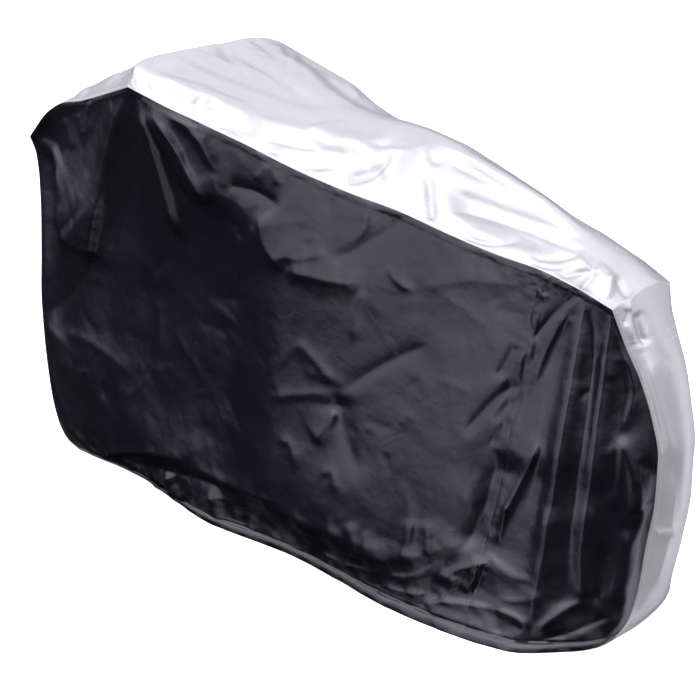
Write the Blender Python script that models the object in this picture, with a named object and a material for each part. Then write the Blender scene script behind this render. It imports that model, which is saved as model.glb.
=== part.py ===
"""Fitted bicycle cover of coated cloth, in the shape in which it stands: a draped shell, open at the bottom.

A silver strip runs along the top and down the rear end. Black side panels, each joined from two
widths of cloth, hang from it to an elastic hem on the floor, and a black gusset closes the front end.

X runs along the cover with the wide, high end towards -X, the left side is at -Y, and Z is up.
The origin is on the floor under the middle of the cover. Sizes are in metres.
"""

import math
from collections import namedtuple

import bmesh
import bpy
import numpy as np

# Cloth and making
CLOTH_THICKNESS = 0.002
SEAM_GAP = 0.0003
SEAM_HOLD = 0.050  # folds of the cloth die out over this distance from a seam
HEM_ELASTIC_HOLD = 0.45  # share of a fold's height that the elastic lets through at the hem
CREASE_SOFTNESS = 0.7  # 0 gives folds straight flanks, 1 rounds them
# Powers with which an end's shape fades into the sides, lengthwise, outwards and upwards
FRONT_FADING = (1.0, 4.0, 1.0)
REAR_FADING = (20.0, 4.0, 1.0)

# Grid of the cloth: columns run from the top seam to the hem, rows from the front edge to the rear edge
# Grid spans run between the places below, closer together where the cloth fans out from a peak
NOSE_COLUMNS = 10
BEFORE_PEAK_COLUMNS = 8
AFTER_PEAK_COLUMNS = 10
WAIST_COLUMNS = 13
FLANK_COLUMNS = 9
TAIL_COLUMNS = 5
CORNER_COLUMNS = 4
ROWS = 22
STRIP_COLUMNS = 8

# Places along X that columns run through
FRONT_CORNER_X = -0.8825
FAN_START_X = -0.45
PEAK_X = -0.3095
FAN_END_X = -0.13
FLANK_X = 0.32
JOIN_TOP_X = 0.6175
REAR_PEAK_X = 0.7005
REAR_CORNER_X = 0.7650
PEAKS = (PEAK_X, REAR_PEAK_X)  # places where something under the cloth holds the top seam up

# The middle of the finished cover, on the tables' scale
MIDDLE_X = -0.0135
MIDDLE_Y = 0.0

LEFT, RIGHT = -1, 1

# Colour, roughness and metallic value of each piece
BLACK_CLOTH = ((0.012, 0.011, 0.014), 0.32, 0.0)
SILVER_CLOTH = ((0.72, 0.72, 0.76), 0.34, 0.55)
FINISHES = {
    "left_side_panel": BLACK_CLOTH,
    "left_rear_panel": BLACK_CLOTH,
    "right_side_panel": BLACK_CLOTH,
    "right_rear_panel": BLACK_CLOTH,
    "top_strip": SILVER_CLOTH,
    "rear_strip": SILVER_CLOTH,
    "front_gusset": BLACK_CLOTH,
}

# The strip, a row for each section. x, out and z place its left seam, out being the distance from the
# middle plane; crown_x and crown_z place the middle of the strip; square says how boxy the section is
# (1 a tent, 2 an arch, 6 a flat top); lag is how far the right seam lies forward of the left one.
Station = namedtuple("Station", "x out z crown_x crown_z square lag")

TOP_STATIONS = [
    Station(-0.8825, 0.090, 0.797, -0.8980, 0.822, 2.2, 0.000),
    Station(-0.8438, 0.098, 0.831, -0.8520, 0.850, 2.2, 0.000),
    Station(-0.7904, 0.110, 0.871, -0.7970, 0.883, 2.2, 0.005),
    Station(-0.7122, 0.130, 0.905, -0.7200, 0.917, 2.4, 0.010),
    Station(-0.6162, 0.160, 0.925, -0.6250, 0.952, 2.8, 0.020),
    Station(-0.4930, 0.205, 0.959, -0.5150, 1.003, 3.6, 0.035),
    Station(-0.3095, 0.300, 1.010, -0.3735, 1.055, 6.0, 0.045),
    Station(-0.2100, 0.290, 0.978, -0.2500, 1.028, 4.2, 0.042),
    Station(-0.1225, 0.277, 0.952, -0.1400, 1.002, 3.2, 0.036),
    Station(-0.0405, 0.250, 0.920, -0.0450, 0.980, 2.4, 0.030),
    Station(0.0945, 0.220, 0.871, 0.0945, 0.955, 1.9, 0.015),
    Station(0.2085, 0.200, 0.840, 0.2085, 0.946, 1.7, 0.005),
    Station(0.3185, 0.180, 0.815, 0.3185, 0.922, 1.6, 0.000),
    Station(0.4325, 0.170, 0.785, 0.4325, 0.876, 1.7, 0.000),
    Station(0.5355, 0.150, 0.757, 0.5355, 0.834, 1.7, 0.000),
    Station(0.6175, 0.135, 0.740, 0.6175, 0.795, 1.8, 0.000),
    Station(0.7005, 0.125, 0.714, 0.7060, 0.744, 2.0, 0.000),
    Station(0.7650, 0.115, 0.685, 0.7760, 0.703, 2.2, 0.000),
]

# From the corner where it meets the top down to the floor
FRONT_STATIONS = [
    Station(-0.8825, 0.090, 0.797, -0.8980, 0.822, 2.2, 0.0),
    Station(-0.8870, 0.070, 0.752, -0.8940, 0.760, 2.2, 0.0),
    Station(-0.8900, 0.062, 0.690, -0.8960, 0.690, 2.2, 0.0),
    Station(-0.8945, 0.060, 0.600, -0.9015, 0.600, 2.2, 0.0),
    Station(-0.9025, 0.060, 0.500, -0.9100, 0.500, 2.2, 0.0),
    Station(-0.9120, 0.062, 0.369, -0.9180, 0.369, 2.2, 0.0),
    Station(-0.9070, 0.065, 0.261, -0.9140, 0.261, 2.2, 0.0),
    Station(-0.8890, 0.070, 0.128, -0.8960, 0.128, 2.2, 0.0),
    Station(-0.8560, 0.080, 0.050, -0.8640, 0.050, 2.2, 0.0),
    Station(-0.8090, 0.092, 0.012, -0.8160, 0.012, 2.2, 0.0),
    Station(-0.7590, 0.100, 0.000, -0.7660, 0.000, 2.2, 0.0),
]

REAR_STATIONS = [
    Station(0.7650, 0.115, 0.685, 0.7760, 0.703, 2.2, 0.0),
    Station(0.7858, 0.095, 0.614, 0.8260, 0.618, 2.2, 0.0),
    Station(0.8139, 0.080, 0.546, 0.8580, 0.550, 2.2, 0.0),
    Station(0.8394, 0.070, 0.468, 0.8790, 0.468, 2.2, 0.0),
    Station(0.8546, 0.064, 0.387, 0.8910, 0.387, 2.2, 0.0),
    Station(0.8536, 0.063, 0.302, 0.8910, 0.302, 2.2, 0.0),
    Station(0.8410, 0.066, 0.192, 0.8770, 0.192, 2.2, 0.0),
    Station(0.8347, 0.072, 0.105, 0.8580, 0.105, 2.2, 0.0),
    Station(0.8263, 0.088, 0.043, 0.8400, 0.043, 2.2, 0.0),
    Station(0.8065, 0.112, 0.000, 0.8160, 0.000, 2.2, 0.0),
]

# The hem on the floor, from its front end to its rear end; out is its distance from the middle plane
HemPoint = namedtuple("HemPoint", "x left_out right_out")

HEM = [
    HemPoint(-0.7590, 0.100, 0.100),
    HemPoint(-0.6700, 0.108, 0.112),
    HemPoint(-0.5900, 0.112, 0.125),
    HemPoint(-0.4685, 0.134, 0.150),
    HemPoint(-0.3215, 0.181, 0.178),
    HemPoint(-0.1700, 0.218, 0.205),
    HemPoint(0.0285, 0.221, 0.222),
    HemPoint(0.2185, 0.252, 0.232),
    HemPoint(0.3615, 0.283, 0.235),
    HemPoint(0.5205, 0.294, 0.225),
    HemPoint(0.6595, 0.282, 0.190),
    HemPoint(0.7565, 0.211, 0.145),
    HemPoint(0.7980, 0.155, 0.120),
    HemPoint(0.8065, 0.112, 0.112),
]

# A column that starts at x on the top seam ends at hem_x on the hem
ColumnEnd = namedtuple("ColumnEnd", "x hem_x")

COLUMN_ENDS = [
    ColumnEnd(-0.8825, -0.7590),
    ColumnEnd(-0.3095, -0.3400),
    ColumnEnd(0.3200, 0.3000),
    ColumnEnd(0.6175, 0.5600),
    ColumnEnd(0.7650, 0.8065),
]

# How far the cloth stands out of the straight patch between a side panel's edges, a row for each
# section at x, and a column for each share of the way from the top seam to the hem
SideSection = namedtuple("SideSection", "x at_0 at_10 at_30 at_50 at_70 at_85 at_95 at_100")
SIDE_SHARES = (0.0, 0.10, 0.30, 0.50, 0.70, 0.85, 0.95, 1.0)

LEFT_SECTIONS = [
    SideSection(-0.88, 0, 0.000, 0.000, 0.000, 0.000, 0.000, 0.000, 0),
    SideSection(-0.82, 0, 0.006, 0.018, 0.024, 0.028, 0.025, 0.012, 0),
    SideSection(-0.70, 0, 0.010, 0.030, 0.024, 0.031, 0.030, 0.018, 0),
    SideSection(-0.55, 0, 0.010, 0.024, 0.028, 0.038, 0.040, 0.018, 0),
    SideSection(-0.31, 0, -0.014, -0.038, -0.034, -0.008, 0.012, 0.008, 0),
    SideSection(-0.16, 0, -0.003, -0.028, -0.032, -0.014, 0.000, 0.000, 0),
    SideSection(-0.05, 0, 0.012, -0.004, -0.008, 0.004, 0.008, 0.004, 0),
    SideSection(0.12, 0, 0.018, 0.038, 0.045, 0.052, 0.044, 0.012, 0),
    SideSection(0.25, 0, 0.014, 0.030, 0.040, 0.050, 0.034, 0.010, 0),
    SideSection(0.45, 0, 0.010, 0.023, 0.032, 0.032, 0.018, 0.006, 0),
    SideSection(0.62, 0, 0.009, 0.032, 0.046, 0.036, 0.018, 0.006, 0),
    SideSection(0.72, 0, 0.006, 0.024, 0.035, 0.030, 0.016, 0.008, 0),
    SideSection(0.80, 0, 0.000, 0.000, 0.000, 0.004, 0.012, 0.008, 0),
]

RIGHT_SECTIONS = [
    SideSection(-0.88, 0, 0.000, 0.000, 0.000, 0.000, 0.000, 0.000, 0),
    SideSection(-0.82, 0, 0.008, 0.020, 0.026, 0.028, 0.024, 0.012, 0),
    SideSection(-0.70, 0, 0.010, 0.032, 0.034, 0.034, 0.032, 0.018, 0),
    SideSection(-0.55, 0, 0.006, 0.026, 0.034, 0.036, 0.036, 0.024, 0),
    SideSection(-0.31, 0, 0.004, 0.000, 0.008, 0.022, 0.030, 0.022, 0),
    SideSection(-0.05, 0, 0.008, 0.018, 0.022, 0.026, 0.028, 0.022, 0),
    SideSection(0.20, 0, 0.012, 0.026, 0.030, 0.028, 0.022, 0.018, 0),
    SideSection(0.45, 0, 0.008, 0.018, 0.022, 0.018, 0.014, 0.014, 0),
    SideSection(0.62, 0, 0.002, 0.006, 0.010, 0.012, 0.012, 0.012, 0),
    SideSection(0.80, 0, 0.000, 0.000, 0.000, 0.000, 0.000, 0.000, 0),
]

# A fold runs on a curve from (x, z) past (mid_x, mid_z) to (end_x, end_z) of the side's own plane. It
# stands out by height, or in where height is negative, over width to each side of the curve.
Fold = namedtuple("Fold", "x z mid_x mid_z end_x end_z width height")

LEFT_FOLDS = [
    # fan below the peak
    Fold(-0.315, 1.000, -0.480, 0.840, -0.640, 0.570, 0.080, 0.028),
    Fold(-0.312, 0.985, -0.365, 0.780, -0.410, 0.520, 0.085, -0.012),
    Fold(-0.292, 0.990, -0.288, 0.860, -0.240, 0.640, 0.045, 0.022),
    Fold(-0.255, 0.975, -0.205, 0.880, -0.130, 0.740, 0.045, 0.020),
    Fold(-0.190, 0.960, -0.140, 0.915, -0.050, 0.850, 0.040, 0.014),
    # nose lobe: its upper crease, its lower edge and the trough below it
    Fold(-0.880, 0.780, -0.757, 0.765, -0.715, 0.660, 0.050, 0.020),
    Fold(-0.790, 0.590, -0.710, 0.570, -0.640, 0.575, 0.060, 0.024),
    Fold(-0.620, 0.540, -0.740, 0.465, -0.900, 0.345, 0.075, -0.030),
    Fold(-0.900, 0.320, -0.800, 0.300, -0.660, 0.220, 0.070, 0.016),
    # sag below the seam at the waist
    Fold(-0.070, 0.860, 0.000, 0.760, 0.000, 0.655, 0.070, 0.012),
    Fold(0.000, 0.655, 0.120, 0.635, 0.260, 0.650, 0.080, 0.018),
    Fold(0.250, 0.820, 0.245, 0.730, 0.130, 0.700, 0.060, -0.018),
    Fold(0.300, 0.760, 0.380, 0.680, 0.500, 0.660, 0.070, 0.014),
    # creases that meet where something inside pushes the cloth out
    Fold(0.173, 0.385, 0.130, 0.450, 0.080, 0.560, 0.045, 0.018),
    Fold(0.173, 0.385, 0.100, 0.375, 0.000, 0.410, 0.040, 0.014),
    Fold(0.173, 0.385, 0.250, 0.420, 0.360, 0.430, 0.050, 0.014),
    Fold(0.173, 0.385, 0.160, 0.300, 0.090, 0.210, 0.045, 0.020),
    Fold(0.040, 0.350, 0.000, 0.290, 0.030, 0.210, 0.042, 0.018),
    # fan below the rear end of the top seam
    Fold(0.703, 0.705, 0.704, 0.450, 0.690, 0.080, 0.042, 0.022),
    Fold(0.764, 0.680, 0.758, 0.450, 0.762, 0.100, 0.038, 0.016),
    Fold(0.735, 0.670, 0.732, 0.400, 0.728, 0.100, 0.034, -0.008),
    Fold(0.680, 0.660, 0.615, 0.500, 0.510, 0.270, 0.055, -0.018),
    Fold(0.655, 0.440, 0.625, 0.300, 0.570, 0.150, 0.050, 0.012),
    Fold(0.600, 0.560, 0.550, 0.450, 0.460, 0.340, 0.045, 0.016),
    # belly above the drawn-in hem
    Fold(-0.660, 0.050, -0.380, 0.110, -0.040, 0.115, 0.080, 0.034),
    Fold(-0.060, 0.115, 0.150, 0.085, 0.450, 0.065, 0.060, 0.008),
    Fold(0.560, 0.075, 0.700, 0.055, 0.800, 0.095, 0.060, 0.018),
    # gathers that the elastic draws up
    Fold(0.110, 0.230, 0.140, 0.140, 0.150, 0.040, 0.040, 0.012),
    Fold(0.210, 0.240, 0.225, 0.150, 0.245, 0.040, 0.042, 0.010),
    Fold(0.310, 0.220, 0.330, 0.130, 0.345, 0.040, 0.042, 0.008),
    Fold(0.430, 0.220, 0.430, 0.130, 0.420, 0.040, 0.044, 0.008),
    Fold(0.500, 0.180, 0.510, 0.110, 0.500, 0.040, 0.042, 0.008),
    Fold(-0.340, 0.100, -0.330, 0.050, -0.320, 0.000, 0.040, 0.014),
    Fold(-0.180, 0.110, -0.175, 0.050, -0.160, 0.000, 0.040, 0.014),
]

RIGHT_FOLDS = [
    Fold(-0.355, 1.000, -0.470, 0.830, -0.610, 0.540, 0.070, 0.042),
    Fold(-0.350, 0.990, -0.365, 0.840, -0.400, 0.580, 0.045, 0.028),
    Fold(-0.352, 0.980, -0.415, 0.800, -0.490, 0.600, 0.055, -0.026),
    Fold(-0.325, 0.975, -0.270, 0.860, -0.220, 0.660, 0.042, 0.026),
    Fold(-0.290, 0.965, -0.210, 0.890, -0.100, 0.780, 0.040, 0.020),
    Fold(-0.640, 0.560, -0.740, 0.480, -0.900, 0.370, 0.070, -0.030),
    Fold(-0.880, 0.760, -0.760, 0.740, -0.680, 0.640, 0.055, 0.018),
    Fold(-0.060, 0.840, 0.020, 0.720, 0.080, 0.620, 0.070, 0.026),
    Fold(0.080, 0.620, 0.200, 0.590, 0.340, 0.640, 0.075, 0.026),
    Fold(0.340, 0.740, 0.430, 0.640, 0.540, 0.600, 0.070, 0.016),
    Fold(0.100, 0.360, 0.050, 0.440, -0.010, 0.550, 0.045, 0.016),
    Fold(0.100, 0.360, 0.180, 0.400, 0.290, 0.420, 0.045, 0.016),
    Fold(0.100, 0.360, 0.080, 0.260, 0.030, 0.160, 0.046, 0.020),
    Fold(0.100, 0.360, 0.000, 0.340, -0.110, 0.370, 0.045, 0.014),
    Fold(0.698, 0.700, 0.680, 0.460, 0.640, 0.100, 0.044, 0.030),
    Fold(0.755, 0.680, 0.745, 0.460, 0.735, 0.140, 0.036, 0.018),
    Fold(0.690, 0.690, 0.600, 0.500, 0.490, 0.300, 0.050, -0.024),
    Fold(0.620, 0.460, 0.580, 0.300, 0.530, 0.130, 0.046, 0.026),
    Fold(-0.620, 0.060, -0.300, 0.115, 0.020, 0.105, 0.075, 0.028),
    Fold(0.000, 0.105, 0.250, 0.085, 0.560, 0.075, 0.060, 0.022),
    Fold(0.560, 0.080, 0.680, 0.060, 0.780, 0.090, 0.055, 0.022),
    Fold(-0.200, 0.280, -0.180, 0.150, -0.190, 0.040, 0.042, 0.018),
    Fold(0.160, 0.280, 0.175, 0.150, 0.190, 0.040, 0.042, 0.020),
    Fold(0.320, 0.280, 0.325, 0.150, 0.320, 0.040, 0.044, 0.022),
    Fold(0.460, 0.260, 0.450, 0.150, 0.440, 0.040, 0.042, 0.020),
]

# On the strip a fold runs in plan, from (x, y) past (mid_x, mid_y) to (end_x, end_y)
StripFold = namedtuple("StripFold", "x y mid_x mid_y end_x end_y width height")

STRIP_FOLDS = [
    StripFold(-0.320, -0.270, -0.160, -0.230, 0.010, -0.180, 0.060, 0.018),
    StripFold(-0.060, -0.190, 0.080, -0.140, 0.240, -0.090, 0.050, 0.014),
    StripFold(-0.340, 0.260, -0.150, 0.180, 0.150, 0.050, 0.070, -0.014),
    StripFold(-0.360, -0.100, -0.200, -0.080, 0.060, -0.020, 0.080, -0.010),
    StripFold(0.250, -0.040, 0.255, -0.100, 0.245, -0.165, 0.045, 0.014),
    StripFold(0.360, -0.110, 0.470, -0.105, 0.680, -0.070, 0.045, -0.014),
    StripFold(0.300, -0.020, 0.500, -0.015, 0.680, -0.010, 0.045, 0.010),
    StripFold(0.620, -0.075, 0.700, -0.070, 0.750, -0.068, 0.040, 0.012),
    StripFold(0.300, 0.070, 0.450, 0.080, 0.660, 0.060, 0.050, -0.010),
    StripFold(-0.420, -0.180, -0.560, -0.110, -0.740, -0.060, 0.060, 0.012),
    StripFold(-0.440, 0.150, -0.580, 0.060, -0.780, 0.020, 0.060, -0.010),
]


def column_values(rows, name):
    return np.array([getattr(row, name) for row in rows], dtype=float)


def read_smoothly(keys, values, at, corners=()):
    """Reads a table's column between its rows, on a curve that never swings past them and bends
    sharply at the keys in corners only."""
    step = np.diff(keys)
    slope = np.diff(values) / step
    same_way = slope[:-1] * slope[1:] > 0
    total = np.where(same_way, slope[:-1] + slope[1:], 1.0)
    inner = np.where(same_way, 2 * slope[:-1] * slope[1:] / total, 0.0)
    corner = np.isin(keys[1:-1], corners)
    leaving = np.concatenate([slope[:1], np.where(corner, slope[1:], inner)])
    arriving = np.concatenate([np.where(corner, slope[:-1], inner), slope[-1:]])
    span = np.clip(np.searchsorted(keys, at, side="right") - 1, 0, len(step) - 1)
    t = (at - keys[span]) / step[span]
    rise = values[span] * (1 + 2 * t) * (1 - t) ** 2 + values[span + 1] * t**2 * (3 - 2 * t)
    lean = step[span] * t * (1 - t) * (leaving[span] * (1 - t) - arriving[span] * t)
    return rise + lean


def ease(share):
    """0 to 1 with a soft start and a soft end."""
    kept = np.clip(share, 0.0, 1.0)
    return kept * kept * (3 - 2 * kept)


def path_fractions(rows):
    """How far along the left seam each row of a table is, from 0 to 1."""
    points = np.array([(row.x, row.out, row.z) for row in rows])
    lengths = np.linalg.norm(np.diff(points, axis=0), axis=1)
    travelled = np.concatenate([[0.0], np.cumsum(lengths)])
    return travelled / travelled[-1]


def top_stations(places):
    keys = column_values(TOP_STATIONS, "x")
    columns = [
        read_smoothly(keys, column_values(TOP_STATIONS, name), places, PEAKS)
        for name in Station._fields
    ]
    return Station(*columns)


def end_stations(rows, fractions):
    keys = path_fractions(rows)
    columns = [read_smoothly(keys, column_values(rows, name), fractions) for name in Station._fields]
    return Station(*columns)


def column_places():
    """x on the top seam of each column."""
    spans = (
        np.linspace(FRONT_CORNER_X, FAN_START_X, NOSE_COLUMNS + 1)[:-1],
        np.linspace(FAN_START_X, PEAK_X, BEFORE_PEAK_COLUMNS + 1)[:-1],
        np.linspace(PEAK_X, FAN_END_X, AFTER_PEAK_COLUMNS + 1)[:-1],
        np.linspace(FAN_END_X, FLANK_X, WAIST_COLUMNS + 1)[:-1],
        np.linspace(FLANK_X, JOIN_TOP_X, FLANK_COLUMNS + 1)[:-1],
        np.linspace(JOIN_TOP_X, REAR_PEAK_X, TAIL_COLUMNS + 1)[:-1],
        np.linspace(REAR_PEAK_X, REAR_CORNER_X, CORNER_COLUMNS + 1),
    )
    return np.concatenate(spans)


def row_fractions():
    """Share of the way down of each row, the rows closing up towards the top seam and the hem."""
    even = np.linspace(0.0, 1.0, ROWS + 1)
    return even - 0.06 * np.sin(2 * math.pi * even)


def seam_points(stations, side):
    """The strip's seam on one side."""
    forward = stations.lag if side == RIGHT else 0.0
    return np.stack([stations.x - forward, side * stations.out, stations.z], axis=-1)


def side_patch(places, fractions, side):
    """A side panel's points before it bulges and folds, [column][row], on a patch between its four edges."""
    top = seam_points(top_stations(places), side)
    front = seam_points(end_stations(FRONT_STATIONS, fractions), side)
    rear = seam_points(end_stations(REAR_STATIONS, fractions), side)
    hem_x = read_smoothly(column_values(COLUMN_ENDS, "x"), column_values(COLUMN_ENDS, "hem_x"), places)
    hem_out_name = "left_out" if side == LEFT else "right_out"
    hem_out = read_smoothly(column_values(HEM, "x"), column_values(HEM, hem_out_name), hem_x)
    hem = np.stack([hem_x, side * hem_out, np.zeros_like(hem_x)], axis=-1)
    along = (places - places[0]) / (places[-1] - places[0])
    u = along[:, None, None]
    v = fractions[None, :, None]
    between_top_and_hem = (1 - v) * top[:, None] + v * hem[:, None]
    front_stands_off = front[None] - (1 - v) * top[0] - v * hem[0]
    rear_stands_off = rear[None] - (1 - v) * top[-1] - v * hem[-1]
    front_share = (1 - u) ** np.array(FRONT_FADING)
    rear_share = u ** np.array(REAR_FADING)
    return between_top_and_hem + front_share * front_stands_off + rear_share * rear_stands_off


def section_bulge(sections, places, fractions):
    """How far the cloth stands out of its patch, read between the rows and columns of a table."""
    keys = column_values(sections, "x")
    values = [read_smoothly(keys, column_values(sections, name), places) for name in SideSection._fields[1:]]
    by_share = np.stack(values)
    shares = np.array(SIDE_SHARES)
    return np.stack([read_smoothly(shares, by_share[:, k], fractions) for k in range(len(places))])


def fold_height(fold, across, up, steps=14):
    """Height of one fold over points of the plane in which it is drawn."""
    start_a, start_b, mid_a, mid_b, end_a, end_b, width, height = fold
    t = np.linspace(0.0, 1.0, steps + 1)
    curve_a = (1 - t) ** 2 * start_a + 2 * t * (1 - t) * mid_a + t**2 * end_a
    curve_b = (1 - t) ** 2 * start_b + 2 * t * (1 - t) * mid_b + t**2 * end_b
    nearest = np.full(across.shape, np.inf)
    along = np.zeros(across.shape)
    for k in range(steps):
        run_a = curve_a[k + 1] - curve_a[k]
        run_b = curve_b[k + 1] - curve_b[k]
        off_a = across - curve_a[k]
        off_b = up - curve_b[k]
        share = np.clip((off_a * run_a + off_b * run_b) / (run_a**2 + run_b**2), 0.0, 1.0)
        distance = np.hypot(off_a - share * run_a, off_b - share * run_b)
        closer = distance < nearest
        nearest = np.where(closer, distance, nearest)
        along = np.where(closer, t[k] + share / steps, along)
    opened = 0.55 + 0.45 * ease(2 * along)
    near = np.clip(1 - nearest / (width * opened), 0.0, 1.0)
    crest = near * (1 - CREASE_SOFTNESS) + CREASE_SOFTNESS * ease(near)
    return height * opened * crest * ease(3 * along + 0.1) * ease(3 * (1 - along) + 0.1)


def outward(points, side):
    """Unit normals of a grid of points, facing out of the cover."""
    normal = np.cross(np.gradient(points, axis=0), np.gradient(points, axis=1))
    return side * normal / np.linalg.norm(normal, axis=2, keepdims=True)


def side_grid(places, fractions, side):
    """A side panel's points, [column][row], the hem as the last row."""
    patch = side_patch(places, fractions, side)
    sections, folds = (LEFT_SECTIONS, LEFT_FOLDS) if side == LEFT else (RIGHT_SECTIONS, RIGHT_FOLDS)
    rise = sum(fold_height(fold, patch[:, :, 0], patch[:, :, 2]) for fold in folds)
    to_seam = np.linalg.norm(patch - patch[:, :1], axis=2)
    to_front = np.linalg.norm(patch - patch[:1], axis=2)
    to_rear = np.linalg.norm(patch - patch[-1:], axis=2)
    hold = ease(to_seam / SEAM_HOLD) * ease(to_front / SEAM_HOLD) * ease(to_rear / SEAM_HOLD)
    at_hem = ease((1 - fractions) * 12)[None, :]
    let_through = HEM_ELASTIC_HOLD + (1 - HEM_ELASTIC_HOLD) * at_hem
    stand_out = section_bulge(sections, places, fractions) + rise * let_through
    grid = patch + (stand_out * hold)[:, :, None] * outward(patch, side)
    grid[:, -1, 2] = 0.0
    grid[:, :, 2] = np.maximum(grid[:, :, 2], 0.0)
    return grid


def strip_grid(stations, across):
    """The strip's points, [section][place across], across running from -1 on the left to 1 on the right."""
    left = seam_points(stations, LEFT)
    right = seam_points(stations, RIGHT)
    crown = np.stack([stations.crown_x, np.zeros_like(stations.crown_x), stations.crown_z], axis=-1)
    t = across[None, :, None]
    straight = left[:, None] * (1 - t) / 2 + right[:, None] * (1 + t) / 2
    arch = 1 - np.abs(across)[None, :] ** stations.square[:, None]
    return straight + arch[:, :, None] * (crown - (left + right) / 2)[:, None]


def strip_folds(grid, stations):
    """Folds and creases of the top of the strip, dying out towards its seams."""
    rise = sum(fold_height(fold, grid[:, :, 0], grid[:, :, 1]) for fold in STRIP_FOLDS)
    to_left = np.linalg.norm(grid - grid[:, :1], axis=2)
    to_right = np.linalg.norm(grid - grid[:, -1:], axis=2)
    hold = ease(to_left / SEAM_HOLD) * ease(to_right / SEAM_HOLD)
    return grid + (rise * hold)[:, :, None] * outward(grid, RIGHT)


def strip_places():
    """Places across the strip, closer together where its section turns down to the seams."""
    even = np.linspace(-1.0, 1.0, STRIP_COLUMNS + 1)
    return np.sin(even * math.pi / 2)


def cover_grids():
    """The points of every piece, with the side on which its columns and rows turn outward."""
    places = column_places()
    fractions = row_fractions()
    across = strip_places()
    join = int(np.argmin(np.abs(places - JOIN_TOP_X)))
    cross_seam = next(k for k, share in enumerate(fractions) if share > path_fractions(REAR_STATIONS)[1])
    left = side_grid(places, fractions, LEFT)
    right = side_grid(places, fractions, RIGHT)
    stations = top_stations(places)
    top = strip_folds(strip_grid(stations, across), stations)
    front = strip_grid(end_stations(FRONT_STATIONS, fractions), across)
    rear = strip_grid(end_stations(REAR_STATIONS, fractions), across)
    seams = ((top, left[:, 0], right[:, 0]), (front, left[0], right[0]), (rear, left[-1], right[-1]))
    for sewn, left_edge, right_edge in seams:
        sewn[:, 0] = left_edge
        sewn[:, -1] = right_edge
    front[0] = top[0]
    rear[0] = top[-1]
    strip = np.concatenate([top, rear[1 : cross_seam + 1]])
    return {
        "left_side_panel": (left[: join + 1], LEFT),
        "left_rear_panel": (left[join:], LEFT),
        "right_side_panel": (right[: join + 1], RIGHT),
        "right_rear_panel": (right[join:], RIGHT),
        "top_strip": (strip, RIGHT),
        "rear_strip": (rear[cross_seam:], RIGHT),
        "front_gusset": (front, LEFT),
    }


def grid_triangles(points, side):
    """Triangles of a grid of points, each cell split on its shorter diagonal, facing out of the cover."""
    columns, rows = points.shape[:2]
    triangles = []
    for i in range(columns - 1):
        for j in range(rows - 1):
            a, b = i * rows + j, (i + 1) * rows + j
            c, d = b + 1, a + 1
            down = np.linalg.norm(points[i + 1, j + 1] - points[i, j])
            rising = np.linalg.norm(points[i + 1, j] - points[i, j + 1])
            cell = [(a, b, c), (a, c, d)] if down < rising else [(a, b, d), (b, c, d)]
            triangles += cell if side == RIGHT else [(p, r, q) for p, q, r in cell]
    return triangles


def place_key(point):
    return tuple(np.round(point, 6))


def shared_normals(grids):
    """Outward normals at every place of the cover, halfway between the pieces that meet there."""
    normals = {}
    for points, side in grids.values():
        flat = points.reshape(-1, 3)
        facing = np.zeros_like(flat)
        for triangle in grid_triangles(points, side):
            a, b, c = flat[list(triangle)]
            facing[list(triangle)] += np.cross(b - a, c - a)
        facing /= np.linalg.norm(facing, axis=1, keepdims=True)
        for point, own in zip(flat, facing):
            normals[place_key(point)] = normals.get(place_key(point), np.zeros(3)) + own
    return {key: facing / np.linalg.norm(facing) for key, facing in normals.items()}


def rim_of(columns, rows):
    """Indices round a grid's edge, in one turn."""
    first = [i * rows for i in range(columns)]
    last_column = [(columns - 1) * rows + j for j in range(1, rows)]
    back = [i * rows + rows - 1 for i in range(columns - 2, -1, -1)]
    return first + last_column + back + list(range(rows - 2, 0, -1))


def drawn_back(points, open_edges):
    """The grid with its sewn edges half a seam gap short, open_edges naming those on the floor."""
    short = points.copy()
    edges = {
        "first_column": (np.s_[0], np.s_[1]),
        "last_column": (np.s_[-1], np.s_[-2]),
        "first_row": (np.s_[:, 0], np.s_[:, 1]),
        "last_row": (np.s_[:, -1], np.s_[:, -2]),
    }
    for name, (edge, inner) in edges.items():
        if name in open_edges:
            continue
        inward = points[inner] - points[edge]
        short[edge] += inward / np.linalg.norm(inward, axis=-1, keepdims=True) * SEAM_GAP / 2
    return short


def shell_of(points, side, open_edges, normals):
    """Vertices and triangles of a closed sheet, its outer face on the points given."""
    columns, rows = points.shape[:2]
    count = columns * rows
    facing = np.array([normals[place_key(point)] for point in points.reshape(-1, 3)])
    outer = drawn_back(points, open_edges).reshape(-1, 3)
    on_floor = outer[:, 2] < 1e-6
    facing[on_floor, 2] = 0.0
    facing[on_floor] /= np.linalg.norm(facing[on_floor], axis=1, keepdims=True)
    inner = outer - CLOTH_THICKNESS * facing
    outside = grid_triangles(points, side)
    triangles = outside + [(a + count, c + count, b + count) for a, b, c in outside]
    rim = rim_of(columns, rows)
    for a, b in zip(rim, rim[1:] + rim[:1]):
        # Both pieces at a seam split their rims on the same diagonal, so that the rims stay parallel.
        if tuple(points.reshape(-1, 3)[a]) < tuple(points.reshape(-1, 3)[b]):
            faces = [(a, b + count, b), (a, a + count, b + count)]
        else:
            faces = [(a, a + count, b), (b, a + count, b + count)]
        triangles += faces if side == RIGHT else [(p, r, q) for p, q, r in faces]
    return np.concatenate([outer, inner]), triangles


def cloth_material(name, colour, roughness, metallic):
    material = bpy.data.materials.new(name)
    material.use_nodes = True
    shader = material.node_tree.nodes["Principled BSDF"]
    shader.inputs["Base Color"].default_value = (*colour, 1.0)
    shader.inputs["Roughness"].default_value = roughness
    shader.inputs["Metallic"].default_value = metallic
    material.diffuse_color = (*colour, 1.0)
    return material


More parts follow.
